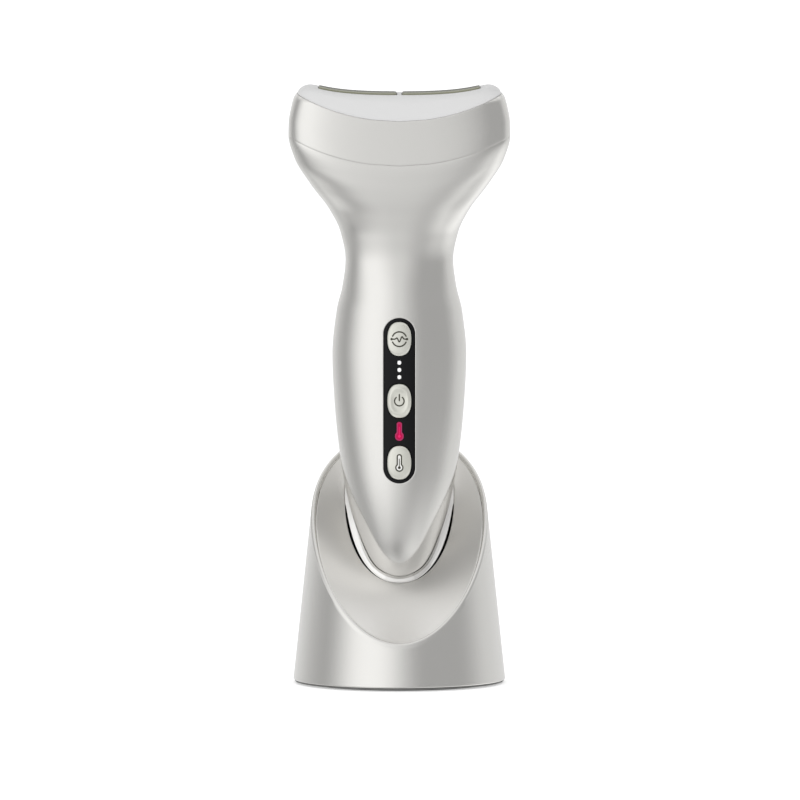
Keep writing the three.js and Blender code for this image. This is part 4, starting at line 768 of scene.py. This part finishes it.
def pocket(shape, grow, depth, place, outer, rounding):
    """A cutter for a sunk place: walls, a rounded edge at the skin, and free air outside."""
    steps = inward(shape, place(depth), grow)[::-1] + [(grow, place(depth)), (grow, place(rounding))]
    steps += [(grow + rounding * inset, place(rounding * drop)) for drop, inset in quarter(5, 1, 85)]
    steps += [(steps[-1][0], flat_at(outer)), (-shape[1], flat_at(outer))]
    return cutter(*relief(shape, steps))


def vent(half_length, x, z, upright):
    shape = stadium(SLOT_HALF_WIDTH, half_length, x, z, upright)
    return pocket(shape, 0, SLOT_DEPTH, on_rear, CUT_REACH, SLOT_ROUND)


def arc(x, z, radius, start, end, steps=32):
    angle = np.radians(np.linspace(start, end, steps))
    return np.stack([x + radius * np.cos(angle), z + radius * np.sin(angle)], -1)


def loop(x, z, radius, steps):
    return arc(x, z, radius, 0, 360, steps + 1)[:-1]


def upright_plug(outline, low, high):
    """A straight plug along Z through an outline in x and y."""
    rings = []
    for share, level in ((0, low), (1, low), (1, high), (0, high)):
        flat = lerp(outline.mean(0), outline, share)
        rings.append(np.column_stack([flat, np.full(len(flat), float(level))]))
    return cutter(*solid_of(rings))


def contact_holes(radius, low, high):
    return [upright_plug(loop(x, 0, radius, 48), low, high) for x in (-CONTACT_OFFSET, CONTACT_OFFSET)]


# Body shells

def half_section(level, lift, inset, open_floor):
    """One level of a half shell on the rear side: outer skin, rounded seam edges and the wall inside."""
    gap, edge, bow = SEAM_GAP / 2, SEAM_ROUND, bow_at(level)
    wide, deep, square = skin_size(level)
    start = math.asin(min(((gap + edge) / (deep - inset)) ** (square / 2), 1))
    angle = np.linspace(start, math.pi - start, RING_STEPS + 1)
    x, y = oval(angle, wide - inset, deep - inset, square, bow)
    drop, run = np.array(quarter(4, 1)[::-1]).T
    edge_x, edge_y = x[0] - edge * run, gap + edge * drop
    wide, deep = wide - BODY_WALL, deep - BODY_WALL
    if open_floor:
        start = math.asin(min((gap / deep) ** (square / 2), 1))
        inner_x, inner_y = oval(np.linspace(math.pi - start, start, RING_STEPS + 1), wide, deep, square, bow)
    else:
        inner_x = wide * np.cos(np.linspace(math.pi, 0, RING_STEPS + 1))
        inner_y = np.full(RING_STEPS + 1, gap)
    x = np.concatenate([edge_x, x, -edge_x[::-1], inner_x])
    y = np.concatenate([edge_y, y, edge_y[::-1], inner_y])
    return np.stack([x, y, lift + warp(level) * sag(x, seam_radius(level))], -1)


def shell_rows():
    """Rows of (level, lift, inset, open floor) from the tip to the seam under the collar."""
    floor, top = TIP_LEVEL + TIP_FLOOR, HEAD_LEVEL - SEAM_GAP / 2
    rows = [(TIP_LEVEL, TIP_LEVEL + TIP_EDGE_ROUND * rise, TIP_EDGE_ROUND * inset, False)
            for inset, rise in quarter(4)]
    low, high = root_height(TIP_LEVEL + TIP_EDGE_ROUND), root_height(GRIP_LEVEL)
    levels = [APEX_LEVEL + lerp(low, high, i / 60) ** 2 for i in range(1, 61)]
    levels += list(np.linspace(GRIP_LEVEL, WAIST_LEVEL, 25)[1:])
    levels += list(np.linspace(WAIST_LEVEL, top - EDGE_ROUND, 41)[1:])
    levels = [level for level in levels if abs(level - floor) > 2 * FLOOR_BLEND]
    levels += [floor - FLOOR_BLEND, floor + FLOOR_BLEND]
    rows += [(level, level, 0, level > floor) for level in sorted(levels)]
    for drop, inset in quarter(4, 1):
        lift = top - EDGE_ROUND * drop
        rows.append((lift, lift, EDGE_ROUND * inset, True))
    return rows


def make_shell(side):
    rings = np.array([half_section(*row) for row in shell_rows()])
    rings[..., 1] *= side
    word = "rear" if side > 0 else "front"
    piece = mesh_object(f"{word}_body", *solid_of(rings, True), "silver_paint", "handset", "paint", [f"{word}_shell"])
    holes = contact_holes(CONTACT_HOLE_RADIUS, TIP_LEVEL - 3, TIP_LEVEL + TIP_FLOOR + 2)
    if side < 0:
        depth = STRIP_SINK + STRIP_THICKNESS + FINE_GAP
        holes.append(pocket(STRIP_SHAPE, FINE_GAP, depth, on_front, -CUT_REACH, POCKET_ROUND))
        holes += strip_cutters()
    else:
        steps = spread(INTAKE_SLOTS, INTAKE_PITCH)
        holes += [vent(INTAKE_HALF_LENGTH, 0, WAIST_LEVEL + step, False) for step in steps]
    combine(piece, holes)


# Control strip, buttons and lights

STRIP_SHAPE = stadium(STRIP_HALF_WIDTH, STRIP_LENGTH / 2, 0, STRIP_LEVEL, steps=192)
KEY_BACK = BUTTON_BACK - float(skin_size(STRIP_LEVEL)[1])
# Bulb and stem of the lit thermometer
LENS_SHAPES = (
    circle(LENS_BULB_RADIUS, LENS_BULB_LEVEL),
    stadium(LENS_STEM_HALF_WIDTH, (LENS_TOP - LENS_BULB_LEVEL) / 2, 0, (LENS_TOP + LENS_BULB_LEVEL) / 2, steps=48),
)


def strip_cutters():
    """Cutters for the keys, the lights and the lens."""
    shapes = [(key_outline(level), FIT_GAP) for level in BUTTON_LEVELS.values()]
    shapes += [(circle(LIGHT_RADIUS, level), FINE_GAP) for level in LIGHT_LEVELS]
    shapes += [(shape, FINE_GAP) for shape in LENS_SHAPES]
    near, far = flat_at(-CUT_REACH), flat_at(KEY_BACK + FIT_GAP * 3)
    return [cutter(*relief(shape, [(-shape[1], far), (gap, far), (gap, near), (-shape[1], near)]))
            for shape, gap in shapes]


def make_strip():
    back = on_front(STRIP_SINK + STRIP_THICKNESS)
    steps = inward(STRIP_SHAPE, back, 0, 6)[::-1] + [(0, back)]
    steps += [(-EDGE_ROUND * inset, on_front(STRIP_SINK + EDGE_ROUND * drop)) for drop, inset in quarter(4)]
    steps += inward(STRIP_SHAPE, on_front(STRIP_SINK), -EDGE_ROUND, 10)
    piece = mesh_object("control_strip", *relief(STRIP_SHAPE, steps), "gloss_black", "handset", "gloss_black",
                        ["control_panel"])
    combine(piece, strip_cutters())


def make_seal():
    """The dark seal between the strip and its pocket."""
    rings = []
    for grow, depth in ((SEAL_GROW, SEAL_BACK), (SEAL_GROW, SEAL_SINK),
                        (SEAL_LEAST_GROW, SEAL_SINK), (SEAL_LEAST_GROW, SEAL_BACK)):
        x, z = STRIP_SHAPE[0](grow)
        rings.append(np.stack([x, on_front(STRIP_SINK + depth)(x, z), z], -1))
    mesh_object("strip_seal", *ring_solid(rings), "seal_black", "handset", "gloss_black")


def key_face(word, level):
    """The height of a key's face: softly domed, and the power key has a raised oval rim round a shallow dish."""

    def face(x, z):
        square = BUTTON_SQUARENESS
        across = np.abs(x / BUTTON_HALF_WIDTH) ** square + np.abs((z - level) / BUTTON_HALF_HEIGHT) ** square
        share = np.clip(across ** (1 / square), 0, 1)
        dome = KEY_DOME * (1 - share**2)
        if word == "power":
            dome = POWER_DISH + POWER_RIM * np.exp(-(((share - POWER_RIM_SHARE) / POWER_RIM_WIDTH) ** 2))
        edge = np.clip((1 - share) / KEY_ROLL_SHARE, 0, 1)
        roll = KEY_ROLL * (1 - np.sqrt(1 - (1 - edge) ** 2))
        return -skin_depth(x, z) - BUTTON_PROUD - dome + roll

    return face


def make_button(word, level):
    shape, face = key_outline(level), key_face(word, level)
    back, round_back = flat_at(KEY_BACK), flat_at(KEY_BACK - BUTTON_BACK_ROUND)
    steps = [(-shape[1], back), (-BUTTON_BACK_ROUND, back), (0, round_back)]
    steps += [(grow, face) for grow in KEY_EDGE_STEPS] + inward(shape, face, KEY_EDGE_STEPS[-1], 22)
    key = f"{word}_key"
    mesh_object(key, *relief(shape, steps), "key_ivory", key, "key_grey", [f"{word}_button"], 50)
    make_icon(word, level, face)


def inked(name, parts, face, material, body, slot, lift=INK_LIFT):
    """Thin printed marks on a face: each part is (rail, rail, closed), with rails of equal length in x and z."""
    points, faces = [], []
    for left, right, closed in parts:
        count, start = len(left), len(points)
        for x, z in (left.T, right.T):
            for depth in (-lift, INK_LIFT):
                points += np.stack([x, face(x, z) + depth, z], -1).tolist()
        for a, b in ((0, 2), (2, 3), (3, 1), (1, 0)):
            for i in range(count if closed else count - 1):
                k = (i + 1) % count
                faces.append([start + row * count + j for row, j in ((a, i), (a, k), (b, k), (b, i))])
        if not closed:
            faces += [[start + row * count + i for row in (0, 2, 3, 1)] for i in (0, count - 1)]
    mesh_object(name, points, faces, material, body, slot, angle=40)


def rails(line, width):
    """Both sides of a stroke along a line of points, with round ends."""
    line = np.asarray(line, float)
    along = np.gradient(line, axis=0)
    along *= width / 2 / np.linalg.norm(along, axis=1)[:, None]
    aside = np.stack([-along[:, 1], along[:, 0]], -1)
    turn = np.radians(np.linspace(90, 0, 7)[:-1, None])
    back = turn[::-1]
    middle = np.concatenate([line[0] - along[0] * np.sin(turn), line, line[-1] + along[-1] * np.sin(back)])
    reach = np.concatenate([aside[0] * np.cos(turn), aside, aside[-1] * np.cos(back)])
    return middle + reach, middle - reach, False


def disc(x, z, radius):
    """A filled dot, as rails that close on its middle."""
    edge = loop(x, z, radius, 24)
    return edge, lerp(np.array([x, z]), edge, 0.02), True


def eased(points):
    """A line with its corners rounded."""
    line = [points[0]]
    for a, b, c in zip(points, points[1:], points[2:]):
        start, end = lerp(b, a, CORNER_CUT), lerp(b, c, CORNER_CUT)
        line += [(1 - t) ** 2 * start + 2 * t * (1 - t) * b + t * t * end for t in np.linspace(0, 1, 8)]
    return np.array(line + [points[-1]])


def thermometer(level, bulb, stem, top):
    """The outline of a thermometer whose bulb is centred on the level."""
    meet = math.degrees(math.asin(stem / bulb))
    ball = arc(0, level, bulb, 90 + meet, 450 - meet, 40)
    cap = arc(0, top - stem, stem, 0, 180, 17)
    side = np.linspace(0, 1, 9)[1:-1, None]
    return np.concatenate([ball, lerp(ball[-1], cap[0], side), cap, lerp(cap[-1], ball[0], side)])


def thermometer_rim(level, bulb, stem, top, near, far):
    """Rails between two insets of a thermometer's outline."""
    outer, inner = (thermometer(level, bulb - inset, stem - inset, top - inset) for inset in (near, far))
    return outer, inner, True


def make_icon(word, level, face):
    def ink(part, parts, lift=INK_LIFT, material="icon_ink"):
        inked(f"{word}_symbol{part}", parts, face, material, f"{word}_key", "key_grey", lift)

    if word == "mode":
        parts = [rails(arc(0, level, RING_RADIUS, start, start + 132), RING_STROKE) for start in (24, 204)]
        ink("", parts + [rails(eased(np.array(WAVE) + (0, level)), WAVE_STROKE)])
        ink("_ends", [disc(x, level, 0.46) for x in (-2.75, 2.75)], 0.036)
    elif word == "power":
        line = [(0, level + rise) for rise in (0.2, 1.2, 2.35)]
        ink("", [rails(arc(0, level, POWER_RADIUS, 130, 410), STROKE), rails(line, STROKE)])
    else:
        bulb, top = level - TUBE_BULB_DROP, level + TUBE_RISE
        ink("", [thermometer_rim(bulb, TUBE_BULB, TUBE_STEM, top, 0, STROKE)])
        glass = thermometer(bulb, TUBE_BULB - STROKE, TUBE_STEM - STROKE, top - STROKE)
        core = np.stack([np.zeros(len(glass)), np.clip(glass[:, 1], bulb, level + 2)], -1)
        ink("_glass", [(glass, lerp(glass, core, 0.98), True)], 0.018, "icon_white")
        ink("_bulb", [disc(0, bulb, 0.52)], 0.04)
        ink("_line", [rails([(0, bulb + rise) for rise in (0.5, 1.8, 3.1)], 0.3)], 0.032)


def make_lights():
    points, faces = [], []
    skin = float(skin_depth(np.array(STRIP_HALF_WIDTH), np.array(LIGHT_LEVEL)))
    back = flat_at(LIGHT_LENGTH - skin + BODY_WALL)
    steps = [(-LIGHT_RADIUS, back), (0, back)]
    steps += [(grow, on_front(STRIP_SINK + depth)) for grow, depth in LIGHT_FACE]
    for level in LIGHT_LEVELS:
        more, sides = relief(circle(LIGHT_RADIUS, level), steps)
        faces += [[index + len(points) for index in side] for side in sides]
        points += more.tolist()
    mesh_object("level_lights", points, faces, "light_white", "handset", "light_white", ["level_light_guide"], 60)


def make_lens():
    face = on_front(STRIP_SINK + LENS_SINK)
    edge = on_front(STRIP_SINK + LENS_SINK + LENS_EDGE)
    back = flat_at(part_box("heat_indicator_lens")[1][1] / MM)

    def plug(shape):
        steps = [(-shape[1], back), (0, back), (0, edge), (-LENS_EDGE, face)]
        return relief(shape, steps + inward(shape, face, -LENS_EDGE, 4))

    def ink(part, rail, material, lift=INK_LIFT):
        inked(f"heat_window_{part}", [rail], face, material, "handset", "lens_red", lift)

    bulb, stem = LENS_SHAPES
    piece = mesh_object("heat_window", *plug(bulb), "heat_red", "handset", "lens_red", ["heat_indicator_lens"], 40)
    combine(piece, [cutter(*plug(stem))], "UNION", 40)
    rim = thermometer_rim(LENS_BULB_LEVEL, LENS_BULB_RADIUS, LENS_STEM_HALF_WIDTH, LENS_TOP, 0.02, 0.34)
    ink("rim", rim, "heat_rim")
    ink("bulb", disc(0, LENS_BULB_LEVEL, 0.5), "heat_core")
    line = [(0, LENS_BULB_LEVEL), (0, LENS_BULB_LEVEL + 2), (0, LENS_TOP - 1.7)]
    ink("line", rails(line, 0.22), "heat_core", 0.02)


# Head

def make_collar():
    low, high = HEAD_LEVEL + SEAM_GAP / 2, COLLAR_TOP_LEVEL - SEAM_GAP / 2
    angle = full_turn(RING_STEPS * 2)

    def edge(end, way):
        return [skin_ring(angle, end + way * EDGE_ROUND * left, EDGE_ROUND * inset) for left, inset in quarter(4)]

    tongue = SEAM_GAP * 0.8
    rings = edge(low, 1)[::-1]
    rings += [skin_ring(angle, level) for level in np.linspace(low + EDGE_ROUND, high - EDGE_ROUND, 25)[1:-1]]
    rings += edge(high, -1)
    rings += [skin_ring(angle, high, SEAM_SINK, level) for level in (high, high + tongue)]
    rings += [skin_ring(angle, level, BODY_WALL) for level in np.linspace(high + tongue, low - tongue, 5)]
    rings += [skin_ring(angle, low, SEAM_SINK, level) for level in (low - tongue, low)]
    piece = mesh_object("collar_band", *ring_solid(rings), "silver_paint", "handset", "paint", ["head_collar"])
    slots = []
    for x in spread(OUTLET_SLOTS, OUTLET_PITCH):
        level = HEAD_LEVEL + COLLAR_HEIGHT / 2 + float(sag(x, COLLAR_SEAM_RADIUS))
        slots.append(vent(OUTLET_HALF_LENGTH, x, level, True))
    combine(piece, slots)


def top_rise(x):
    return x * x / (2 * TOP_MID_RADIUS) + x**4 / (8 * TOP_END_RADIUS**3)


def crested(x):
    """x, eased to stay at the crest beyond it."""
    start = BEZEL_CREST - CREST_BLEND / 2
    past = np.clip(np.abs(x) - start, 0, CREST_BLEND)
    return np.minimum(np.abs(x), start + CREST_BLEND) - past**2 / (2 * CREST_BLEND)


def bezel_ring(angle, share, inset, top):
    """A ring of the cap's side; share runs from its foot to the edge of its top."""
    turn = BEZEL_TURN * share * math.pi / 2
    climb = math.sin(turn) / math.sin(BEZEL_TURN * math.pi / 2)
    edge_turn = BEZEL_ROLL * min(max((climb - BEZEL_ROLL_START) / (1 - BEZEL_ROLL_START), 0), 1)
    wide = BEZEL_HALF_WIDTH - BEZEL_SIDE_ROUND * (1 - math.cos(turn)) - inset
    deep = HEAD_HALF[1] - BEZEL_STEP / 2 - BEZEL_EDGE_ROUND * (1 - math.sqrt(1 - edge_turn**2)) - inset
    x, y = oval(angle, wide, deep, BEZEL_SQUARENESS, HEAD_BOW)
    low = BEZEL_FOOT_LEVEL + sag(x, COLLAR_SEAM_RADIUS)
    return np.stack([x, y, lerp(low, top + top_rise(crested(x)), climb)], -1)


def make_bezel():
    angle = full_turn(RING_STEPS * 2)
    top, roof = BEZEL_TOP_LEVEL, BEZEL_TOP_LEVEL - BEZEL_ROOF

    def cap(ring, level):
        flats = [ring[:, :2] * share for share in np.linspace(1, 0, 41)[1:]]
        return [np.column_stack([flat, level + top_rise(crested(flat[:, 0]))]) for flat in flats]

    rings = cap(bezel_ring(angle, 1, BODY_WALL, roof), roof)[::-1]
    rings += [bezel_ring(angle, share, BODY_WALL, roof) for share in (1, 0.7, 0.4, 0)]
    foot = bezel_ring(angle, 0, EDGE_ROUND, top)
    first = bezel_ring(angle, 0, 0, top) + (0, 0, EDGE_ROUND)
    rings += [foot, lerp(foot, first, 0.5) + (0, 0, -0.02), first]
    shares = np.concatenate([np.linspace(0.03, 0.5, 14), np.linspace(0.5, 1, 22)[1:]])
    rings += [bezel_ring(angle, share, 0, top) for share in shares]
    rings += cap(rings[-1], top)
    piece = mesh_object("head_cap", *solid_of(rings), "bezel_white", "handset", "bezel_white", ["head_bezel"])
    combine(piece, [upright_plug(plate_outline(side, FIT_GAP), WINDOW_LOW, WINDOW_HIGH) for side in (-1, 1)])


def plate_outline(side, grow):
    middle = side * (PLATE_NEAR + PLATE_FAR) / 2
    corner = PLATE_CORNER + min(grow, 0)
    reach = ((PLATE_FAR - PLATE_NEAR) / 2 + grow - corner, PLATE_HALF_DEPTH + grow - corner)
    points = []
    for i, (x, y, onward) in enumerate(((1, 1, (-1, 0)), (-1, 1, (0, -1)), (-1, -1, (1, 0)), (1, -1, (0, 1)))):
        points.append(arc(middle + x * reach[0], y * reach[1], corner, 90 * i, 90 * i + 90, 9))
        way = np.linspace(0, 2 * reach[i % 2], 17)[1:-1, None]
        points.append(points[-1][-1] + way * onward)
    return np.concatenate(points)


def make_plates():
    top, bottom = PLATE_TOP_LEVEL, PLATE_TOP_LEVEL - PLATE_THICKNESS

    def at(outline, level):
        return np.column_stack([outline, level + top_rise(outline[:, 0]) * (level > bottom)])

    for side, word in ((-1, "left"), (1, "right")):
        flat, edge = plate_outline(side, 0), plate_outline(side, -PLATE_EDGE)
        middle = flat.mean(0)
        rings = [at(lerp(middle, flat, share), bottom) for share in (0, 0.5, 1)]
        rings += [at(plate_outline(side, -PLATE_EDGE * inset), top - PLATE_EDGE * drop) for drop, inset in quarter(5)]
        rings += [at(lerp(middle, edge, share), top) for share in np.linspace(1, 0, 25)[1:]]
        mesh_object(f"{word}_plate", *solid_of(rings), "plate_metal", "handset", "plate_metal",
                    [f"contact_plate_{word}"], 40)


# Dock

def cone_radius(level):
    return FOOT_RADIUS - DOCK_TAPER * level


def rim_level(y):
    return RIM_MID_LEVEL + RIM_SLOPE * y - RIM_BOW * y * y


def rim_radius(angle):
    radius = np.full(np.shape(angle), float(FOOT_RADIUS))
    for _ in range(24):
        radius = cone_radius(rim_level(radius * np.sin(angle)))
    return radius


def lip_width(angle):
    y = rim_radius(angle) * np.sin(angle)
    slope = (RIM_SLOPE - 2 * RIM_BOW * y) * np.sin(angle)
    return LIP_WIDTH / np.sqrt(1 + slope * slope)


def well_radius(angle):
    """The well is a squared oval about a point behind the axis, so its radius is found by halving."""

    def outside(radius):
        y = radius * np.sin(angle) - WELL_CENTRE_Y
        across = np.abs(radius * np.cos(angle) / WELL_HALF_WIDTH) ** WELL_SQUARENESS
        along = np.abs(y / np.where(y > 0, WELL_REAR_REACH, WELL_FRONT_REACH)) ** WELL_SQUARENESS
        return across + along >= 1

    return halve(0, WELL_HALF_WIDTH + WELL_CENTRE_Y, outside)[0]


def well_level(y):
    past = y - WELL_CENTRE_Y
    dip = np.where(past > 0, WELL_REAR_DIP * (past / WELL_REAR_REACH) ** 2, 0)
    return TIP_LEVEL + FIT_GAP + WELL_RISE + past * WELL_RISE / WELL_FRONT_REACH - dip


def dish_edge(angle):
    radius = rim_radius(angle) - lip_width(angle) - DISH_GAP
    return radius, rim_level(radius * np.sin(angle)) - LIP_DROP


def dish_top(angle, share, below=0.0):
    """Radius and level on the dish, or below its face, from its edge at share 0 to the well at share 1."""
    edge_radius, edge_level = dish_edge(angle)
    inner = well_radius(angle)
    inner_level = well_level(inner * np.sin(angle))
    sink = DISH_SAG * 4 * share * (1 - share)
    return lerp(edge_radius, inner, share), lerp(edge_level, inner_level, share) - sink - below


def around_dock(profile):
    """A ring solid whose profile is a list of radius and level, each a number or an array over the turn."""
    angle = full_turn(DOCK_STEPS)
    rings = []
    for radius, level in profile(angle):
        rings.append(np.stack(np.broadcast_arrays(radius * np.cos(angle), radius * np.sin(angle), level), -1))
    return ring_solid(rings)


def dock_shell_profile(angle):
    s = np.sin(angle)
    rim, width = rim_radius(angle), lip_width(angle)
    rows = []
    for left, rise in quarter(5):
        level = SHELL_BOTTOM + SHELL_FOOT_ROUND * rise
        rows.append((cone_radius(level) - SHELL_FOOT_ROUND * left, level))
    for share in np.linspace(0, 1, 26)[1:]:
        level = lerp(SHELL_BOTTOM + SHELL_FOOT_ROUND, rim_level(rim * s) - LIP_DROP, share)
        rows.append((cone_radius(level), level))
    for share in np.linspace(0, 1, 17)[1:]:
        radius = rim - width * share
        rows.append((radius, rim_level(radius * s) - LIP_DROP * abs(2 * share - 1) ** LIP_SQUARENESS))
    below = DISH_THICKNESS + FIT_GAP
    ledge = dish_top(angle, LEDGE_WIDTH / (dish_edge(angle)[0] - well_radius(angle)), below)
    rows += [(rim - width, dish_top(angle, 0, below)[1]), ledge]
    levels = (ledge[1] - LEDGE_DEPTH, SHELL_BOTTOM)
    return rows + [(cone_radius(level) - DOCK_WALL, level) for level in levels]


def dish_profile(angle):
    inner = well_radius(angle)
    inner_level = well_level(inner * np.sin(angle))
    span = dish_top(angle, 0)[0] - inner
    first, last = DISH_EDGE_ROUND / span, 1 - WELL_EDGE_ROUND / span
    edge_level = dish_top(angle, first)[1]
    rows = [(dish_top(angle, first * run)[0], edge_level - DISH_EDGE_ROUND * left) for left, run in quarter(5)]
    rows += [dish_top(angle, lerp(first, last, share)) for share in np.linspace(0, 1, 31)[1:]]
    radius, level = dish_top(angle, last)
    for left, drop in quarter(4, 1):
        rows.append((lerp(inner, radius, left), lerp(inner_level, level, left) - WELL_EDGE_ROUND * drop))
    rows += [(inner, inner_level - WELL_EDGE_DROP), (inner, inner_level - WELL_SKIRT)]
    rows.append((inner + WELL_FOOT_WIDTH, inner_level - WELL_SKIRT))
    return rows + [dish_top(angle, share, DISH_THICKNESS) for share in (0.6, 0.3, 0)]


def tip_radius(angle, level):
    wide, deep, square = skin_size(np.maximum(level, TIP_LEVEL))
    across = (np.abs(np.cos(angle)) / wide) ** square + (np.abs(np.sin(angle)) / deep) ** square
    return across ** (-1 / square)


def slit_width(angle):
    """The slit between dish and cup is widest at the sides and closes towards both ends."""
    past = (well_radius(angle) * np.sin(angle) - SLIT_MIDDLE_Y) / SLIT_REACH
    return SLIT_LEAST + (WELL_SLIT - SLIT_LEAST) * np.sqrt(np.clip(1 - past**2, 0, 1))


def cup_profile(angle):
    outer = well_radius(angle) - slit_width(angle)
    rim = well_level(well_radius(angle) * np.sin(angle)) + CUP_RIM_RISE
    bottom, top, crest = CUP_FLOOR_LEVEL - CUP_FLOOR_THICKNESS, rim - CUP_EDGE_DROP, rim + CUP_CLIMB
    inner = np.minimum(tip_radius(angle, crest) + CUP_HUG, outer - CUP_LEAST_RIM)
    room_at_top = inner - tip_radius(angle, top)

    def wall(share, thickness):
        level = lerp(bottom, top, share)
        return tip_radius(angle, level) + lerp(CUP_FIT, room_at_top, share**1.5) + thickness, level

    shares = np.linspace(0, 1, 17)
    rows = [wall(share, lerp(CUP_RIM_WIDTH, outer - inner, share)) for share in shares]
    rows += [(outer - CUP_EDGE_INSET * inset, top + CUP_EDGE_RISE * (1 - left)) for left, inset in quarter(3, 1)]
    ends = (outer - CUP_EDGE_INSET, inner), (top + CUP_EDGE_RISE, crest)
    rows += [[lerp(*pair, share) for pair in ends] for share in (0.35, 0.7, 1)]
    return rows + [wall(share, 0) for share in shares[::-1]]


def make_dock():
    shell = mesh_object("dock_body", *around_dock(dock_shell_profile), "silver_paint", "dock", "paint", ["dock_shell"])
    mouth = stadium(SOCKET_HALF_HEIGHT + FIT_GAP, SOCKET_HALF_WIDTH + FIT_GAP, 0, SOCKET_LEVEL, upright=False)

    def cone_face(depth):
        return lambda x, z: np.sqrt(cone_radius(z) ** 2 - x**2) - depth

    combine(shell, [pocket(mouth, 0, SOCKET_DEPTH, cone_face, SOCKET_REACH, MOUTH_ROUND)])
    # The dish and cup liner take the lightened silver paint: painted light
    mesh_object("dish_plate", *around_dock(dish_profile), "dish_paint", "dock", "paint", ["dock_dish"])
    cup = mesh_object("cup_liner", *around_dock(cup_profile), "dish_paint", "dock", "paint", ["dock_cup"])
    grow = CUP_FIT + CUP_RIM_WIDTH / 2
    floor = np.column_stack(oval(full_turn(96), TIP_HALF_WIDTH + grow, TIP_HALF_DEPTH + grow, 2))
    combine(cup, [upright_plug(floor, CUP_FLOOR_LEVEL - CUP_FLOOR_THICKNESS, CUP_FLOOR_LEVEL)], "UNION")
    combine(cup, contact_holes(PIN_HOLE_RADIUS, CUP_FLOOR_LEVEL - 5, CUP_FLOOR_LEVEL + 2))


def make_springs():
    """Coils under the charge pins, each sized to the box of its spring node."""
    around, wire = full_turn(SPRING_WIRE_SIDES), SPRING_WIRE_RADIUS
    for word in ("left", "right"):
        node = f"pin_spring_{word}"
        low, high = (np.array(corner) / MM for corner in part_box(node))
        x, y, _ = (low + high) / 2
        reach = (high[0] - low[0]) / 2 - wire + wire * np.cos(around)
        rings = []
        for share in np.linspace(0, 1, SPRING_STEPS + 1):
            turn = 2 * math.pi * SPRING_TURNS * share
            rise = lerp(low[2] + wire, high[2] - wire, share) + wire * np.sin(around)
            rings.append(np.stack([x + reach * math.cos(turn), y + reach * math.sin(turn), rise], -1))
        coil = mesh_object(f"coil_{word}", *solid_of(rings, True), "steel", "dock", "steel", [node], 50)
        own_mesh(coil)


def finish_frame_nodes():
    """Every node that stays visible gets a worked material for its slot."""
    for name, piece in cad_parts.items():
        for slot in piece.material_slots:
            given = slot.material.name.split(".")[0] if slot.material else ""
            finish = "base_grey" if name == "base_plate" else FINISH_OF_SLOT.get(given, given)
            slot.material = MATERIALS.get(finish, MATERIALS["dark_plastic"])


def main():
    bpy.context.scene.view_settings.view_transform = "Standard"
    make_camera()
    make_world()
    make_floor()
    make_materials()
    make_shell(-1)
    make_shell(1)
    make_strip()
    make_seal()
    for word, level in BUTTON_LEVELS.items():
        make_button(word, level)
    make_lights()
    make_lens()
    make_collar()
    make_bezel()
    make_plates()
    make_dock()
    make_springs()
    finish_frame_nodes()


main()
